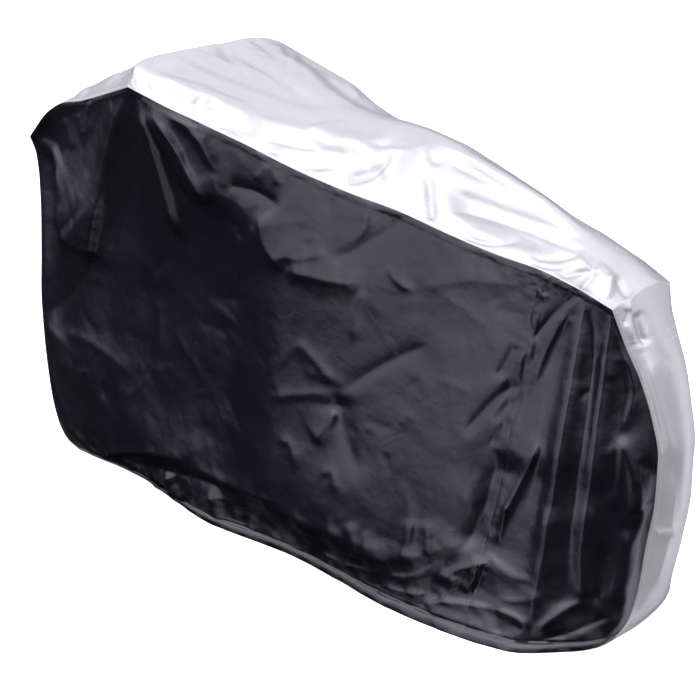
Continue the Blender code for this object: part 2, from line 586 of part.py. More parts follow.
def add_piece(name, vertices, triangles, material):
    mesh = bpy.data.meshes.new(name)
    mesh.from_pydata(vertices.tolist(), [], triangles)
    mesh.validate()
    build = bmesh.new()
    build.from_mesh(mesh)
    bmesh.ops.recalc_face_normals(build, faces=build.faces)
    build.to_mesh(mesh)
    build.free()
    mesh.materials.append(material)
    mesh.shade_smooth()
    mesh.set_sharp_from_angle(angle=math.radians(50))
    piece = bpy.data.objects.new(name, mesh)
    bpy.context.scene.collection.objects.link(piece)
    return piece


def main():
    for thing in list(bpy.data.objects):
        bpy.data.objects.remove(thing)
    grids = cover_grids()
    normals = shared_normals(grids)
    open_edges = {
        "left_side_panel": {"last_row"},
        "left_rear_panel": {"last_row"},
        "right_side_panel": {"last_row"},
        "right_rear_panel": {"last_row"},
        "top_strip": set(),
        "rear_strip": {"last_column"},
        "front_gusset": {"last_column"},
    }
    for name, (points, side) in grids.items():
        material = cloth_material(name + "_cloth", *FINISHES[name])
        vertices, triangles = shell_of(points, side, open_edges[name], normals)
        add_piece(name, vertices - np.array([MIDDLE_X, MIDDLE_Y, 0.0]), triangles, material)


if __name__ == "__main__":
    main()
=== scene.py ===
"""Looks of a fitted bicycle cover of coated cloth: its panels as thin draped sheets, their creases, seams,
stitches, gathered hem and finishes, and a plain studio to see it in.

X runs along the cover with the wide, high end towards -X, the left side is at -Y, and Z is up.
Sizes are in metres, and places in the photograph are in pixels of its 700 by 700 frame.
"""

import math
from collections import namedtuple

import bpy
import numpy as np
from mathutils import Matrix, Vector, noise


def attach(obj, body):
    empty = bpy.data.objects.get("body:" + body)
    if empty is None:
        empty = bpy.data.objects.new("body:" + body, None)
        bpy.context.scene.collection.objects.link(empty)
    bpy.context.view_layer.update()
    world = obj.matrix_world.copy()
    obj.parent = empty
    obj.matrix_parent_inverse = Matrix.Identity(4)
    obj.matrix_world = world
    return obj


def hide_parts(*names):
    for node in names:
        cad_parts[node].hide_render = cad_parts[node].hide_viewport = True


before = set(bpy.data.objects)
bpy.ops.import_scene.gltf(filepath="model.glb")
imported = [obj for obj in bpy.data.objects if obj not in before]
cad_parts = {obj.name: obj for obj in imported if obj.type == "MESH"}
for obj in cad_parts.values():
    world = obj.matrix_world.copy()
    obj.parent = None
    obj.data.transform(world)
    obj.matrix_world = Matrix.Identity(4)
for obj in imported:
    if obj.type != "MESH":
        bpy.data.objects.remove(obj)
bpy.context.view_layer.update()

bl_info = {
    "name": "Bicycle cover",
    "version": (1, 0, 0),
    "blender": (4, 5, 0),
    "location": "3D View > Sidebar > Cover",
    "description": "Draped sheets, seams and finishes of a fitted bicycle cover",
    "category": "Mesh",
}

BODY = "root"

# The photograph's camera
VIEW_TARGET = (0.1583, -0.1200, 0.4720)
VIEW_AZIMUTH = 38.358
VIEW_ELEVATION = 19.293
VIEW_DISTANCE = 3.4261
PHOTO_SIZE = 700
PHOTO_FOCAL_PIXELS = 1604.0
SENSOR_WIDTH_MM = 36.0

# Cloth and making
SEAM_HOLD = 0.050  # main folds die out over this distance from a seam
CREASE_HOLD = 0.014  # small creases die out over this distance from a seam
HEM_LETS_THROUGH = 0.45  # share of a main fold's height that the elastic leaves at the hem
HEM_GRIP = 12  # the elastic holds folds down over one part in this many of the way up
HEM_LEVEL_HEIGHT = 0.06  # creases turn to stand out level below this height
CREST_PIXELS = 1.5  # half the width over which a crease's crest is rounded, in the photograph
CREASE_FALL = 1.8  # how quickly a small crease dies out to its sides
STIFFNESS = 1.4  # how much higher the silver cloth's creases stand than the table gives
FOLD_SOFTNESS = 0.7  # 0 gives main folds straight flanks, 1 rounds them
FOLD_START_SHARE = 0.55  # share of its width and height with which a main fold starts
FOLD_ENDS = (3, 0.1)  # how steeply a main fold rises from its ends, and its share of the height there
CREASE_ENDS = (4, 0.15)
CRUMPLE = (0.6, 2.1, 3)  # fractal dimension, lacunarity and octaves of the wrinkles
CRUMPLE_SPACING = 0.140  # between small wrinkles of the sides
STRIP_CRUMPLE_SPACING = 0.080
STRIP_CRUMPLE_SHARE = 0.6  # of the height of the sides' small wrinkles
TURNED_AWAY = -0.05  # the strip's creases end where it faces this far away from the camera
FACING_RANGE = 0.15
FAR_CRUMPLE = 0.009  # height of the broad wrinkles of the right side
FAR_CRUMPLE_SPACING = 0.300
STORAGE_CREASES = 150  # short creases on each side, from being stored
STORAGE_CREASE_LENGTHS = (0.03, 0.14)
STORAGE_CREASE_HEIGHTS = (0.0006, 0.0020)
STORAGE_CREASE_FLANKS = (0.010, 0.030)
STORAGE_CREST = 0.003
# Powers with which an end's shape fades into the sides, lengthwise, outwards and upwards
FRONT_FADING = (1.0, 4.0, 1.0)
REAR_FADING = (20.0, 4.0, 1.0)
PEAK_SOFTENS_BY = 0.30  # share of the way down by which the peaks' corners have rounded off

# Places along X that columns of the cloth run through
FRONT_CORNER_X = -0.8825
FAN_START_X = -0.45
PEAK_X = -0.3095
FAN_END_X = -0.13
FLANK_X = 0.32
JOIN_TOP_X = 0.6175
REAR_PEAK_X = 0.7005
REAR_CORNER_X = 0.7650
PEAKS = (PEAK_X, REAR_PEAK_X)

# Columns of the cloth between those places, rows from the top seam to the hem, and columns across the strip
FINE_COLUMNS = (54, 38, 46, 84, 50, 26, 24)
COARSE_COLUMNS = (28, 18, 20, 36, 24, 14, 12)
FINE_ROWS, COARSE_ROWS = 176, 110
FINE_STRIP_COLUMNS, COARSE_STRIP_COLUMNS = 76, 30
ROW_CLOSING = 0.06  # how much closer rows lie to each other near the top seam and the hem

# The middle of the finished cover, on the tables' scale
MIDDLE = np.array([-0.0135, 0.0, 0.0])

LEFT, RIGHT = -1, 1

# The edges of a grid of points, [column][row]; a strip's top and hem are its left and right seams
EDGES = {"top": np.s_[:, :1], "hem": np.s_[:, -1:], "first": np.s_[:1], "last": np.s_[-1:]}

# Seams and their stitches
SEAM_ALLOWANCE = 0.011
SEAM_RISE = 0.0009  # of the turned-under cloth
SEAM_STEP = 0.004  # width over which it rises
SEAM_PUCKER = 0.0026
PUCKER_START = 0.005
PUCKER_REACH = 0.018
PUCKER_SPACING = 0.030
STITCH_INSET = 0.008  # from the seam to the row of stitches beside it
STITCH_SPACING = 0.0058
STITCH_LENGTH = 0.0038
STITCH_WIDTH = 0.0009
STITCH_HEIGHT = 0.0005
STITCH_SINK = 0.0003  # depth of its underside in the cloth
STITCH_TOP_SHARE = 0.6  # how long and wide its top is, as a share of its foot
STITCH_FACES = ((0, 3, 2, 1), (4, 5, 6, 7), (0, 1, 5, 4), (1, 2, 6, 5), (2, 3, 7, 6), (3, 0, 4, 7))

# Gathers above the hem and the groove of stitches above its casing
GATHER_SPACING = 0.095
GATHER_START = 0.040  # height above the hem
GATHER_REACH = 0.090
CASING_GROOVE_WIDTH = 0.006
CASING_GROOVE_DEPTH = 0.003

# Surface of the cloth
SHARP_ANGLE = math.radians(65)  # edges sharper than this aren't shaded smooth
THREAD_PITCH = 0.0007
WEAVE_HEIGHT = 0.00001
BEND = 0.05  # how far the edges of crumpled facets wander
FACETS = ((11.0, 1.0), (27.0, 0.45))  # facets per metre, and their share of the height
FACET_LEAN = 0.09
FINE_WRINKLES = 0.0016
GLOSS_SPREAD = 0.10
DUST_TOP = 0.10  # height above the floor
DUST_COVER = 0.35
DUST_ROUGHNESS = 0.12

# The studio's light
TENT_LIGHT = 2.0
WALL_LIGHT = 0.03
UPRIGHT_LIGHT = 1.05  # an upright light to the right of the camera
FAR_LIGHT = 2.0  # a panel of light beyond the rear end
OVERHEAD_LIGHT = 2.4  # a bank of light above and in front
TENT_TINT = (0.87, 0.85, 1.0)
SOFT_SHARE = 0.5  # share of the tent's light that reaches the cloth's own colour
FLOOR_REACH = 12.0
FLOOR_GLOW = 0.45


def table(kind, *rows):
    """A list of rows with named columns."""
    return [kind(*row) for row in rows]


# The strip, a row for each section. x, out and z place its left seam, out being the distance from the
# middle plane; crown_x and crown_z place the middle of the strip; square says how boxy the section is
# (1 a tent, 2 an arch, 6 a flat top); lag is how far the right seam lies forward of the left one.
Station = namedtuple("Station", "x out z crown_x crown_z square lag")

TOP_STATIONS = table(
    Station,
    (-0.8825, 0.090, 0.797, -0.8980, 0.822, 2.2, 0.000),
    (-0.8438, 0.098, 0.831, -0.8520, 0.850, 2.2, 0.000),
    (-0.7904, 0.110, 0.871, -0.7970, 0.883, 2.2, 0.005),
    (-0.7122, 0.130, 0.905, -0.7200, 0.917, 2.4, 0.010),
    (-0.6162, 0.160, 0.925, -0.6250, 0.952, 2.8, 0.020),
    (-0.4930, 0.205, 0.959, -0.5150, 1.003, 3.6, 0.035),
    (-0.3095, 0.300, 1.010, -0.3735, 1.055, 6.0, 0.045),
    (-0.2100, 0.290, 0.978, -0.2500, 1.028, 4.2, 0.042),
    (-0.1225, 0.277, 0.952, -0.1400, 1.002, 3.2, 0.036),
    (-0.0405, 0.250, 0.920, -0.0450, 0.980, 2.4, 0.030),
    (0.0945, 0.220, 0.871, 0.0945, 0.955, 1.9, 0.015),
    (0.2085, 0.200, 0.840, 0.2085, 0.946, 1.7, 0.005),
    (0.3185, 0.180, 0.815, 0.3185, 0.922, 1.6, 0.000),
    (0.4325, 0.170, 0.785, 0.4325, 0.876, 1.7, 0.000),
    (0.5355, 0.150, 0.757, 0.5355, 0.834, 1.7, 0.000),
    (0.6175, 0.135, 0.740, 0.6175, 0.795, 1.8, 0.000),
    (0.7005, 0.125, 0.714, 0.7060, 0.744, 2.0, 0.000),
    (0.7650, 0.115, 0.685, 0.7760, 0.703, 2.2, 0.000),
)

# From the corner where it meets the top down to the floor
FRONT_STATIONS = table(
    Station,
    (-0.8825, 0.090, 0.797, -0.8980, 0.822, 2.2, 0.0),
    (-0.8870, 0.070, 0.752, -0.8940, 0.760, 2.2, 0.0),
    (-0.8900, 0.062, 0.690, -0.8960, 0.690, 2.2, 0.0),
    (-0.8945, 0.060, 0.600, -0.9015, 0.600, 2.2, 0.0),
    (-0.9025, 0.060, 0.500, -0.9100, 0.500, 2.2, 0.0),
    (-0.9120, 0.062, 0.369, -0.9180, 0.369, 2.2, 0.0),
    (-0.9070, 0.065, 0.261, -0.9140, 0.261, 2.2, 0.0),
    (-0.8890, 0.070, 0.128, -0.8960, 0.128, 2.2, 0.0),
    (-0.8560, 0.080, 0.050, -0.8640, 0.050, 2.2, 0.0),
    (-0.8090, 0.092, 0.012, -0.8160, 0.012, 2.2, 0.0),
    (-0.7590, 0.100, 0.000, -0.7660, 0.000, 2.2, 0.0),
)

REAR_STATIONS = table(
    Station,
    (0.7650, 0.115, 0.685, 0.7760, 0.703, 2.2, 0.0),
    (0.7858, 0.095, 0.614, 0.8260, 0.618, 2.2, 0.0),
    (0.8139, 0.080, 0.546, 0.8580, 0.550, 2.2, 0.0),
    (0.8394, 0.070, 0.468, 0.8790, 0.468, 2.2, 0.0),
    (0.8546, 0.064, 0.387, 0.8910, 0.387, 2.2, 0.0),
    (0.8536, 0.063, 0.302, 0.8910, 0.302, 2.2, 0.0),
    (0.8410, 0.066, 0.192, 0.8770, 0.192, 2.2, 0.0),
    (0.8347, 0.072, 0.105, 0.8580, 0.105, 2.2, 0.0),
    (0.8263, 0.088, 0.043, 0.8400, 0.043, 2.2, 0.0),
    (0.8065, 0.112, 0.000, 0.8160, 0.000, 2.2, 0.0),
)

# The hem on the floor, from its front end to its rear end; out is its distance from the middle plane
HemPoint = namedtuple("HemPoint", "x left_out right_out")

HEM = table(
    HemPoint,
    (-0.7590, 0.100, 0.100),
    (-0.6700, 0.108, 0.112),
    (-0.5900, 0.112, 0.125),
    (-0.4685, 0.134, 0.150),
    (-0.3215, 0.181, 0.178),
    (-0.1700, 0.218, 0.205),
    (0.0285, 0.221, 0.222),
    (0.2185, 0.252, 0.232),
    (0.3615, 0.283, 0.235),
    (0.5205, 0.294, 0.225),
    (0.6595, 0.282, 0.190),
    (0.7565, 0.211, 0.145),
    (0.7980, 0.155, 0.120),
    (0.8065, 0.112, 0.112),
)

# A column that starts at x on the top seam ends at hem_x on the hem
ColumnEnd = namedtuple("ColumnEnd", "x hem_x")

COLUMN_ENDS = table(
    ColumnEnd,
    (-0.8825, -0.7590),
    (-0.3095, -0.3400),
    (0.3200, 0.3000),
    (0.6175, 0.5600),
    (0.7650, 0.8065),
)

# How far the cloth stands out of the straight patch between a side panel's edges, a row for each
# section at x, and a column for each share of the way from the top seam to the hem
SideSection = namedtuple("SideSection", "x at_0 at_5 at_12 at_20 at_30 at_45 at_60 at_72 at_82 at_91 at_100")
SIDE_SHARES = (0.0, 0.05, 0.12, 0.20, 0.30, 0.45, 0.60, 0.72, 0.82, 0.91, 1.0)

LEFT_SECTIONS = table(
    SideSection,
    (-0.88, 0, 0.000, 0.000, 0.000, 0.000, 0.000, 0.000, 0.000, 0.000, 0.000, 0),
    (-0.82, 0, -0.004, -0.012, -0.014, -0.012, -0.004, 0.008, 0.014, 0.018, 0.014, 0),
    (-0.70, 0, 0.003, 0.009, 0.020, 0.040, 0.014, 0.018, 0.028, 0.032, 0.022, 0),
    (-0.58, 0, 0.003, 0.009, 0.018, 0.034, 0.024, 0.034, 0.042, 0.042, 0.026, 0),
    (-0.45, 0, 0.000, -0.004, -0.010, -0.014, -0.004, 0.010, 0.024, 0.032, 0.020, 0),
    (-0.31, 0, -0.009, -0.020, -0.033, -0.045, -0.044, -0.026, -0.006, 0.012, 0.008, 0),
    (-0.16, 0, 0.000, -0.006, -0.018, -0.030, -0.034, -0.026, -0.014, 0.000, -0.006, 0),
    (-0.05, 0, 0.008, 0.016, 0.006, -0.006, -0.012, -0.006, 0.004, 0.010, -0.008, 0),
    (0.12, 0, 0.012, 0.024, 0.036, 0.040, 0.046, 0.052, 0.057, 0.054, 0.008, 0),
    (0.25, 0, 0.008, 0.017, 0.026, 0.031, 0.038, 0.047, 0.055, 0.050, 0.008, 0),
    (0.45, 0, 0.006, 0.012, 0.018, 0.024, 0.032, 0.036, 0.032, 0.022, 0.004, 0),
    (0.62, 0, 0.003, 0.009, 0.015, 0.021, 0.028, 0.028, 0.022, 0.014, 0.003, 0),
    (0.72, 0, 0.000, 0.000, 0.001, 0.004, 0.010, 0.016, 0.018, 0.016, 0.008, 0),
    (0.80, 0, 0.000, 0.000, 0.000, 0.000, 0.000, 0.002, 0.006, 0.012, 0.010, 0),
)

RIGHT_SECTIONS = table(
    SideSection,
    (-0.88, 0, 0.000, 0.000, 0.000, 0.000, 0.000, 0.000, 0.000, 0.000, 0.000, 0),
    (-0.82, 0, 0.005, 0.010, 0.015, 0.020, 0.025, 0.028, 0.028, 0.022, 0.012, 0),
    (-0.70, 0, 0.006, 0.012, 0.020, 0.032, 0.034, 0.034, 0.034, 0.030, 0.014, 0),
    (-0.55, 0, 0.003, 0.008, 0.016, 0.026, 0.032, 0.036, 0.036, 0.034, 0.016, 0),
    (-0.31, 0, 0.003, 0.003, 0.002, 0.001, 0.006, 0.014, 0.026, 0.030, 0.012, 0),
    (-0.05, 0, 0.006, 0.010, 0.014, 0.018, 0.021, 0.024, 0.027, 0.028, 0.012, 0),
    (0.20, 0, 0.008, 0.014, 0.020, 0.026, 0.029, 0.029, 0.026, 0.022, 0.008, 0),
    (0.45, 0, 0.006, 0.010, 0.014, 0.018, 0.021, 0.020, 0.016, 0.014, 0.006, 0),
    (0.62, 0, 0.001, 0.002, 0.004, 0.006, 0.009, 0.011, 0.012, 0.012, 0.008, 0),
    (0.80, 0, 0.000, 0.000, 0.000, 0.000, 0.000, 0.000, 0.000, 0.000, 0.000, 0),
)

# A main fold runs on a curve from (x, z), drawn towards (mid_x, mid_z), to (end_x, end_z) of the side's
# own plane. It stands out by height, or in where height is negative, over width to each side.
Fold = namedtuple("Fold", "x z mid_x mid_z end_x end_z width height")

LEFT_FOLDS = table(
    Fold,
    # fan below the peak
    (-0.315, 1.000, -0.480, 0.840, -0.640, 0.570, 0.090, 0.014),
    (-0.292, 0.990, -0.288, 0.860, -0.240, 0.640, 0.040, 0.007),
    (-0.255, 0.975, -0.205, 0.880, -0.130, 0.740, 0.040, 0.007),
    # nose lobe: its upper crease and the trough below it
    (-0.880, 0.780, -0.757, 0.765, -0.715, 0.660, 0.050, 0.014),
    (-0.620, 0.540, -0.740, 0.465, -0.900, 0.345, 0.060, -0.003),
    (-0.900, 0.290, -0.800, 0.270, -0.660, 0.200, 0.070, 0.005),
    # fan below the rear end of the top seam
    (0.703, 0.705, 0.704, 0.450, 0.690, 0.080, 0.042, 0.018),
    (0.764, 0.680, 0.758, 0.450, 0.762, 0.100, 0.038, 0.012),
    (0.680, 0.660, 0.615, 0.500, 0.510, 0.270, 0.055, -0.008),
    (0.655, 0.440, 0.625, 0.300, 0.570, 0.150, 0.040, 0.006),
    # gathers that the elastic draws up
    (0.120, 0.150, 0.140, 0.100, 0.150, 0.040, 0.040, 0.006),
    (0.225, 0.160, 0.235, 0.100, 0.250, 0.040, 0.042, 0.006),
    (0.335, 0.150, 0.340, 0.100, 0.350, 0.040, 0.042, 0.006),
    (0.430, 0.160, 0.430, 0.100, 0.420, 0.040, 0.044, 0.006),
    (-0.340, 0.100, -0.330, 0.050, -0.320, 0.000, 0.040, 0.010),
    (-0.180, 0.110, -0.175, 0.050, -0.160, 0.000, 0.040, 0.010),
)

RIGHT_FOLDS = table(
    Fold,
    (-0.355, 1.000, -0.470, 0.830, -0.610, 0.540, 0.080, 0.026),
    (-0.350, 0.990, -0.365, 0.840, -0.400, 0.580, 0.045, 0.018),
    (-0.352, 0.980, -0.415, 0.800, -0.490, 0.600, 0.055, -0.014),
    (-0.325, 0.975, -0.270, 0.860, -0.220, 0.660, 0.042, 0.016),
    (-0.290, 0.965, -0.210, 0.890, -0.100, 0.780, 0.040, 0.012),
    (-0.640, 0.560, -0.740, 0.480, -0.900, 0.370, 0.070, -0.016),
    (-0.880, 0.760, -0.760, 0.740, -0.680, 0.640, 0.055, 0.012),
    (-0.060, 0.840, 0.020, 0.720, 0.080, 0.620, 0.080, 0.012),
    (0.080, 0.620, 0.200, 0.590, 0.340, 0.640, 0.090, 0.012),
    (0.340, 0.740, 0.430, 0.640, 0.540, 0.600, 0.070, 0.010),
    (0.100, 0.360, 0.050, 0.460, -0.070, 0.640, 0.060, 0.010),
    (0.100, 0.360, 0.220, 0.400, 0.420, 0.380, 0.055, 0.008),
    (0.100, 0.360, 0.060, 0.240, -0.040, 0.140, 0.050, 0.009),
    (0.698, 0.700, 0.680, 0.460, 0.640, 0.100, 0.044, 0.018),
    (0.755, 0.680, 0.745, 0.460, 0.735, 0.140, 0.036, 0.012),
    (0.690, 0.690, 0.600, 0.500, 0.490, 0.300, 0.050, -0.012),
    (0.620, 0.460, 0.580, 0.300, 0.530, 0.130, 0.046, 0.014),
    (-0.620, 0.060, -0.300, 0.115, 0.020, 0.105, 0.075, 0.018),
    (0.000, 0.105, 0.250, 0.085, 0.560, 0.075, 0.060, 0.012),
    (0.560, 0.080, 0.680, 0.060, 0.780, 0.090, 0.055, 0.012),
    (-0.200, 0.220, -0.180, 0.120, -0.190, 0.040, 0.042, 0.008),
    (0.160, 0.180, 0.175, 0.110, 0.190, 0.040, 0.042, 0.008),
    (0.320, 0.240, 0.325, 0.130, 0.320, 0.040, 0.044, 0.009),
)

# On the strip a fold runs in plan, from (x, y) towards (mid_x, mid_y) to (end_x, end_y)
StripFold = namedtuple("StripFold", "x y mid_x mid_y end_x end_y width height")

STRIP_FOLDS = table(
    StripFold,
    (-0.320, -0.270, -0.160, -0.230, 0.010, -0.180, 0.060, 0.018),
    (-0.060, -0.190, 0.080, -0.140, 0.240, -0.090, 0.050, 0.014),
    (-0.340, 0.260, -0.150, 0.180, 0.150, 0.050, 0.070, -0.014),
    (-0.360, -0.100, -0.200, -0.080, 0.060, -0.020, 0.080, -0.010),
    (0.250, -0.040, 0.255, -0.100, 0.245, -0.165, 0.045, 0.014),
    (0.360, -0.110, 0.470, -0.105, 0.680, -0.070, 0.045, -0.014),
    (0.300, -0.020, 0.500, -0.015, 0.680, -0.010, 0.045, 0.010),
    (0.620, -0.075, 0.700, -0.070, 0.750, -0.068, 0.040, 0.012),
    (0.300, 0.070, 0.450, 0.080, 0.660, 0.060, 0.050, -0.010),
    (-0.420, -0.180, -0.560, -0.110, -0.740, -0.060, 0.060, 0.012),
    (-0.440, 0.150, -0.580, 0.060, -0.780, 0.020, 0.060, -0.010),
)

# A crease runs from (x, y) through (mid_x, mid_y) to (end_x, end_y). It reaches left to the left of the
# line or below it, and right to the right of it or above it, and is high, in metres, along its crest.
Crease = namedtuple("Crease", "x y mid_x mid_y end_x end_y left right high")

# Creases of the near side, in the photograph's pixels
NEAR_SIDE_CREASES = table(
    Crease,
    # fan below the peak
    (126, 92, 108, 158, 93, 246, 30, 12, 0.011),
    (121, 98, 110, 135, 99, 188, 4, 4, -0.003),
    (139, 97, 161, 165, 180, 243, 12, 17, 0.019),
    (153, 104, 184, 156, 208, 206, 12, 18, 0.020),
    (171, 112, 197, 134, 217, 173, 8, 11, 0.009),
    (78, 112, 82, 124, 85, 136, 4, 5, 0.003),
    (92, 98, 88, 120, 84, 142, 4, 5, 0.003),
    # ear ridge, ledge and trough of the nose lobe
    (34, 142, 58, 158, 77, 215, 7, 30, 0.004),
    (64, 116, 70, 132, 73, 150, 4, 4, 0.003),
    (60, 231, 80, 246, 98, 251, 6, 45, 0.016),
    (95, 253, 76, 286, 40, 318, 10, 70, -0.007),
    (42, 322, 62, 340, 84, 362, 9, 7, 0.003),
    (60, 332, 98, 347, 132, 378, 16, 12, 0.006),
    (77, 371, 82, 373, 88, 370, 3, 3, 0.002),
    (50, 345, 62, 405, 88, 446, 6, 9, 0.005),
    # waist
    (216, 187, 252, 192, 280, 212, 26, 16, -0.011),
    (232, 220, 237, 229, 240, 240, 4, 3, -0.003),
    (262, 210, 266, 245, 284, 270, 8, 24, 0.009),
    (284, 270, 322, 279, 364, 287, 10, 26, 0.009),
    (365, 289, 355, 312, 353, 342, 4, 10, 0.004),
    (366, 204, 360, 236, 328, 253, 22, 6, 0.0035),
    (328, 253, 302, 258, 276, 257, 22, 5, 0.003),
    (268, 164, 262, 172, 255, 181, 5, 5, 0.003),
    (271, 164, 275, 174, 278, 186, 5, 5, 0.003),
    (405, 215, 372, 240, 330, 263, 12, 14, -0.003),
    (388, 264, 398, 281, 415, 291, 5, 9, 0.004),
    (309, 238, 309, 255, 308, 273, 3, 3, -0.002),
    (415, 291, 470, 281, 527, 288, 24, 34, 0.004),
    # beside the join
    (536, 287, 541, 292, 549, 301, 4, 4, 0.003),
    (515, 344, 508, 360, 496, 379, 5, 6, -0.004),
    (521, 382, 492, 402, 464, 436, 8, 9, -0.007),
    (511, 399, 503, 410, 494, 421, 4, 5, -0.003),
    (511, 419, 500, 432, 489, 446, 4, 5, -0.003),
    # star
    (296, 339, 315, 360, 334, 382, 9, 7, 0.005),
    (270, 397, 298, 395, 327, 393, 6, 6, 0.003),
    (343, 391, 384, 364, 431, 344, 16, 10, -0.005),
    (337, 396, 343, 432, 358, 481, 16, 26, -0.008),
    (334, 406, 327, 428, 312, 442, 18, 8, 0.008),
    (281, 446, 290, 444, 297, 471, 5, 7, 0.004),
    (320, 478, 332, 472, 334, 496, 5, 6, 0.004),
    (370, 430, 366, 442, 361, 456, 3, 4, -0.002),
    (385, 454, 387, 464, 387, 476, 3, 4, -0.002),
    # teeth above the hem
    (349, 522, 354, 542, 359, 560, 8, 8, 0.008),
    (365, 530, 368, 550, 373, 566, 6, 5, 0.004),
    (411, 518, 409, 540, 404, 562, 9, 8, 0.008),
    (425, 520, 429, 538, 428, 556, 7, 7, 0.006),
    (320, 552, 350, 565, 386, 573, 12, 5, 0.006),
    (386, 573, 415, 575, 441, 560, 12, 5, 0.006),
    (385, 586, 405, 592, 430, 594, 12, 8, 0.007),
    (352, 546, 400, 558, 470, 540, 16, 30, 0.007),
    # belly and the tuck below it
    (98, 457, 140, 451, 188, 463, 6, 12, 0.008),
    (188, 463, 232, 486, 280, 505, 7, 12, 0.007),
    (122, 464, 192, 478, 274, 510, 8, 6, -0.007),
    (152, 492, 166, 480, 182, 474, 6, 5, 0.004),
    (186, 512, 218, 498, 256, 512, 8, 6, 0.005),
    (160, 300, 160, 328, 160, 356, 5, 5, 0.002),
    # hem, towards its rear end
    (440, 581, 462, 568, 491, 562, 14, 7, 0.011),
    (440, 602, 450, 588, 456, 574, 8, 6, 0.008),
    (464, 592, 472, 580, 479, 568, 8, 6, 0.008),
    (485, 564, 480, 580, 472, 597, 6, 5, -0.007),
    (424, 606, 452, 602, 500, 610, 20, 5, 0.009),
    (496, 609, 515, 616, 530, 630, 12, 8, 0.010),
    (498, 596, 520, 600, 540, 592, 12, 5, 0.005),
    (486, 552, 506, 572, 530, 580, 14, 6, 0.006),
    (510, 642, 560, 636, 621, 611, 6, 6, -0.007),
    (535, 633, 558, 613, 584, 599, 9, 10, 0.011),
)

# Creases of the near rear panel, in the photograph's pixels
NEAR_REAR_CREASES = table(
    Crease,
    (575, 294, 551, 318, 531, 343, 6, 6, -0.005),
    (582, 297, 555, 332, 530, 396, 9, 8, 0.006),
    (586, 297, 567, 408, 546, 520, 10, 18, 0.011),
    (548, 505, 540, 560, 529, 632, 10, 18, 0.010),
    (612, 310, 600, 405, 584, 520, 10, 18, 0.012),
    (587, 490, 581, 560, 587, 600, 12, 18, 0.010),
    (580, 399, 584, 394, 589, 389, 3, 3, -0.002),
    (623, 350, 634, 392, 616, 441, 5, 8, 0.004),
    (618, 430, 618, 478, 609, 511, 6, 9, 0.005),
    (656, 500, 642, 508, 628, 519, 4, 5, -0.003),
    (629, 528, 622, 566, 613, 606, 8, 9, 0.007),
    (618, 436, 632, 470, 640, 530, 18, 14, 0.012),
    (640, 466, 648, 468, 656, 470, 5, 5, -0.004),
    (606, 545, 600, 580, 596, 612, 9, 9, -0.006),
    (543, 438, 520, 482, 495, 531, 9, 7, 0.009),
    (506, 503, 502, 522, 496, 546, 6, 5, 0.005),
    (500, 448, 484, 506, 462, 552, 24, 80, -0.020),
)

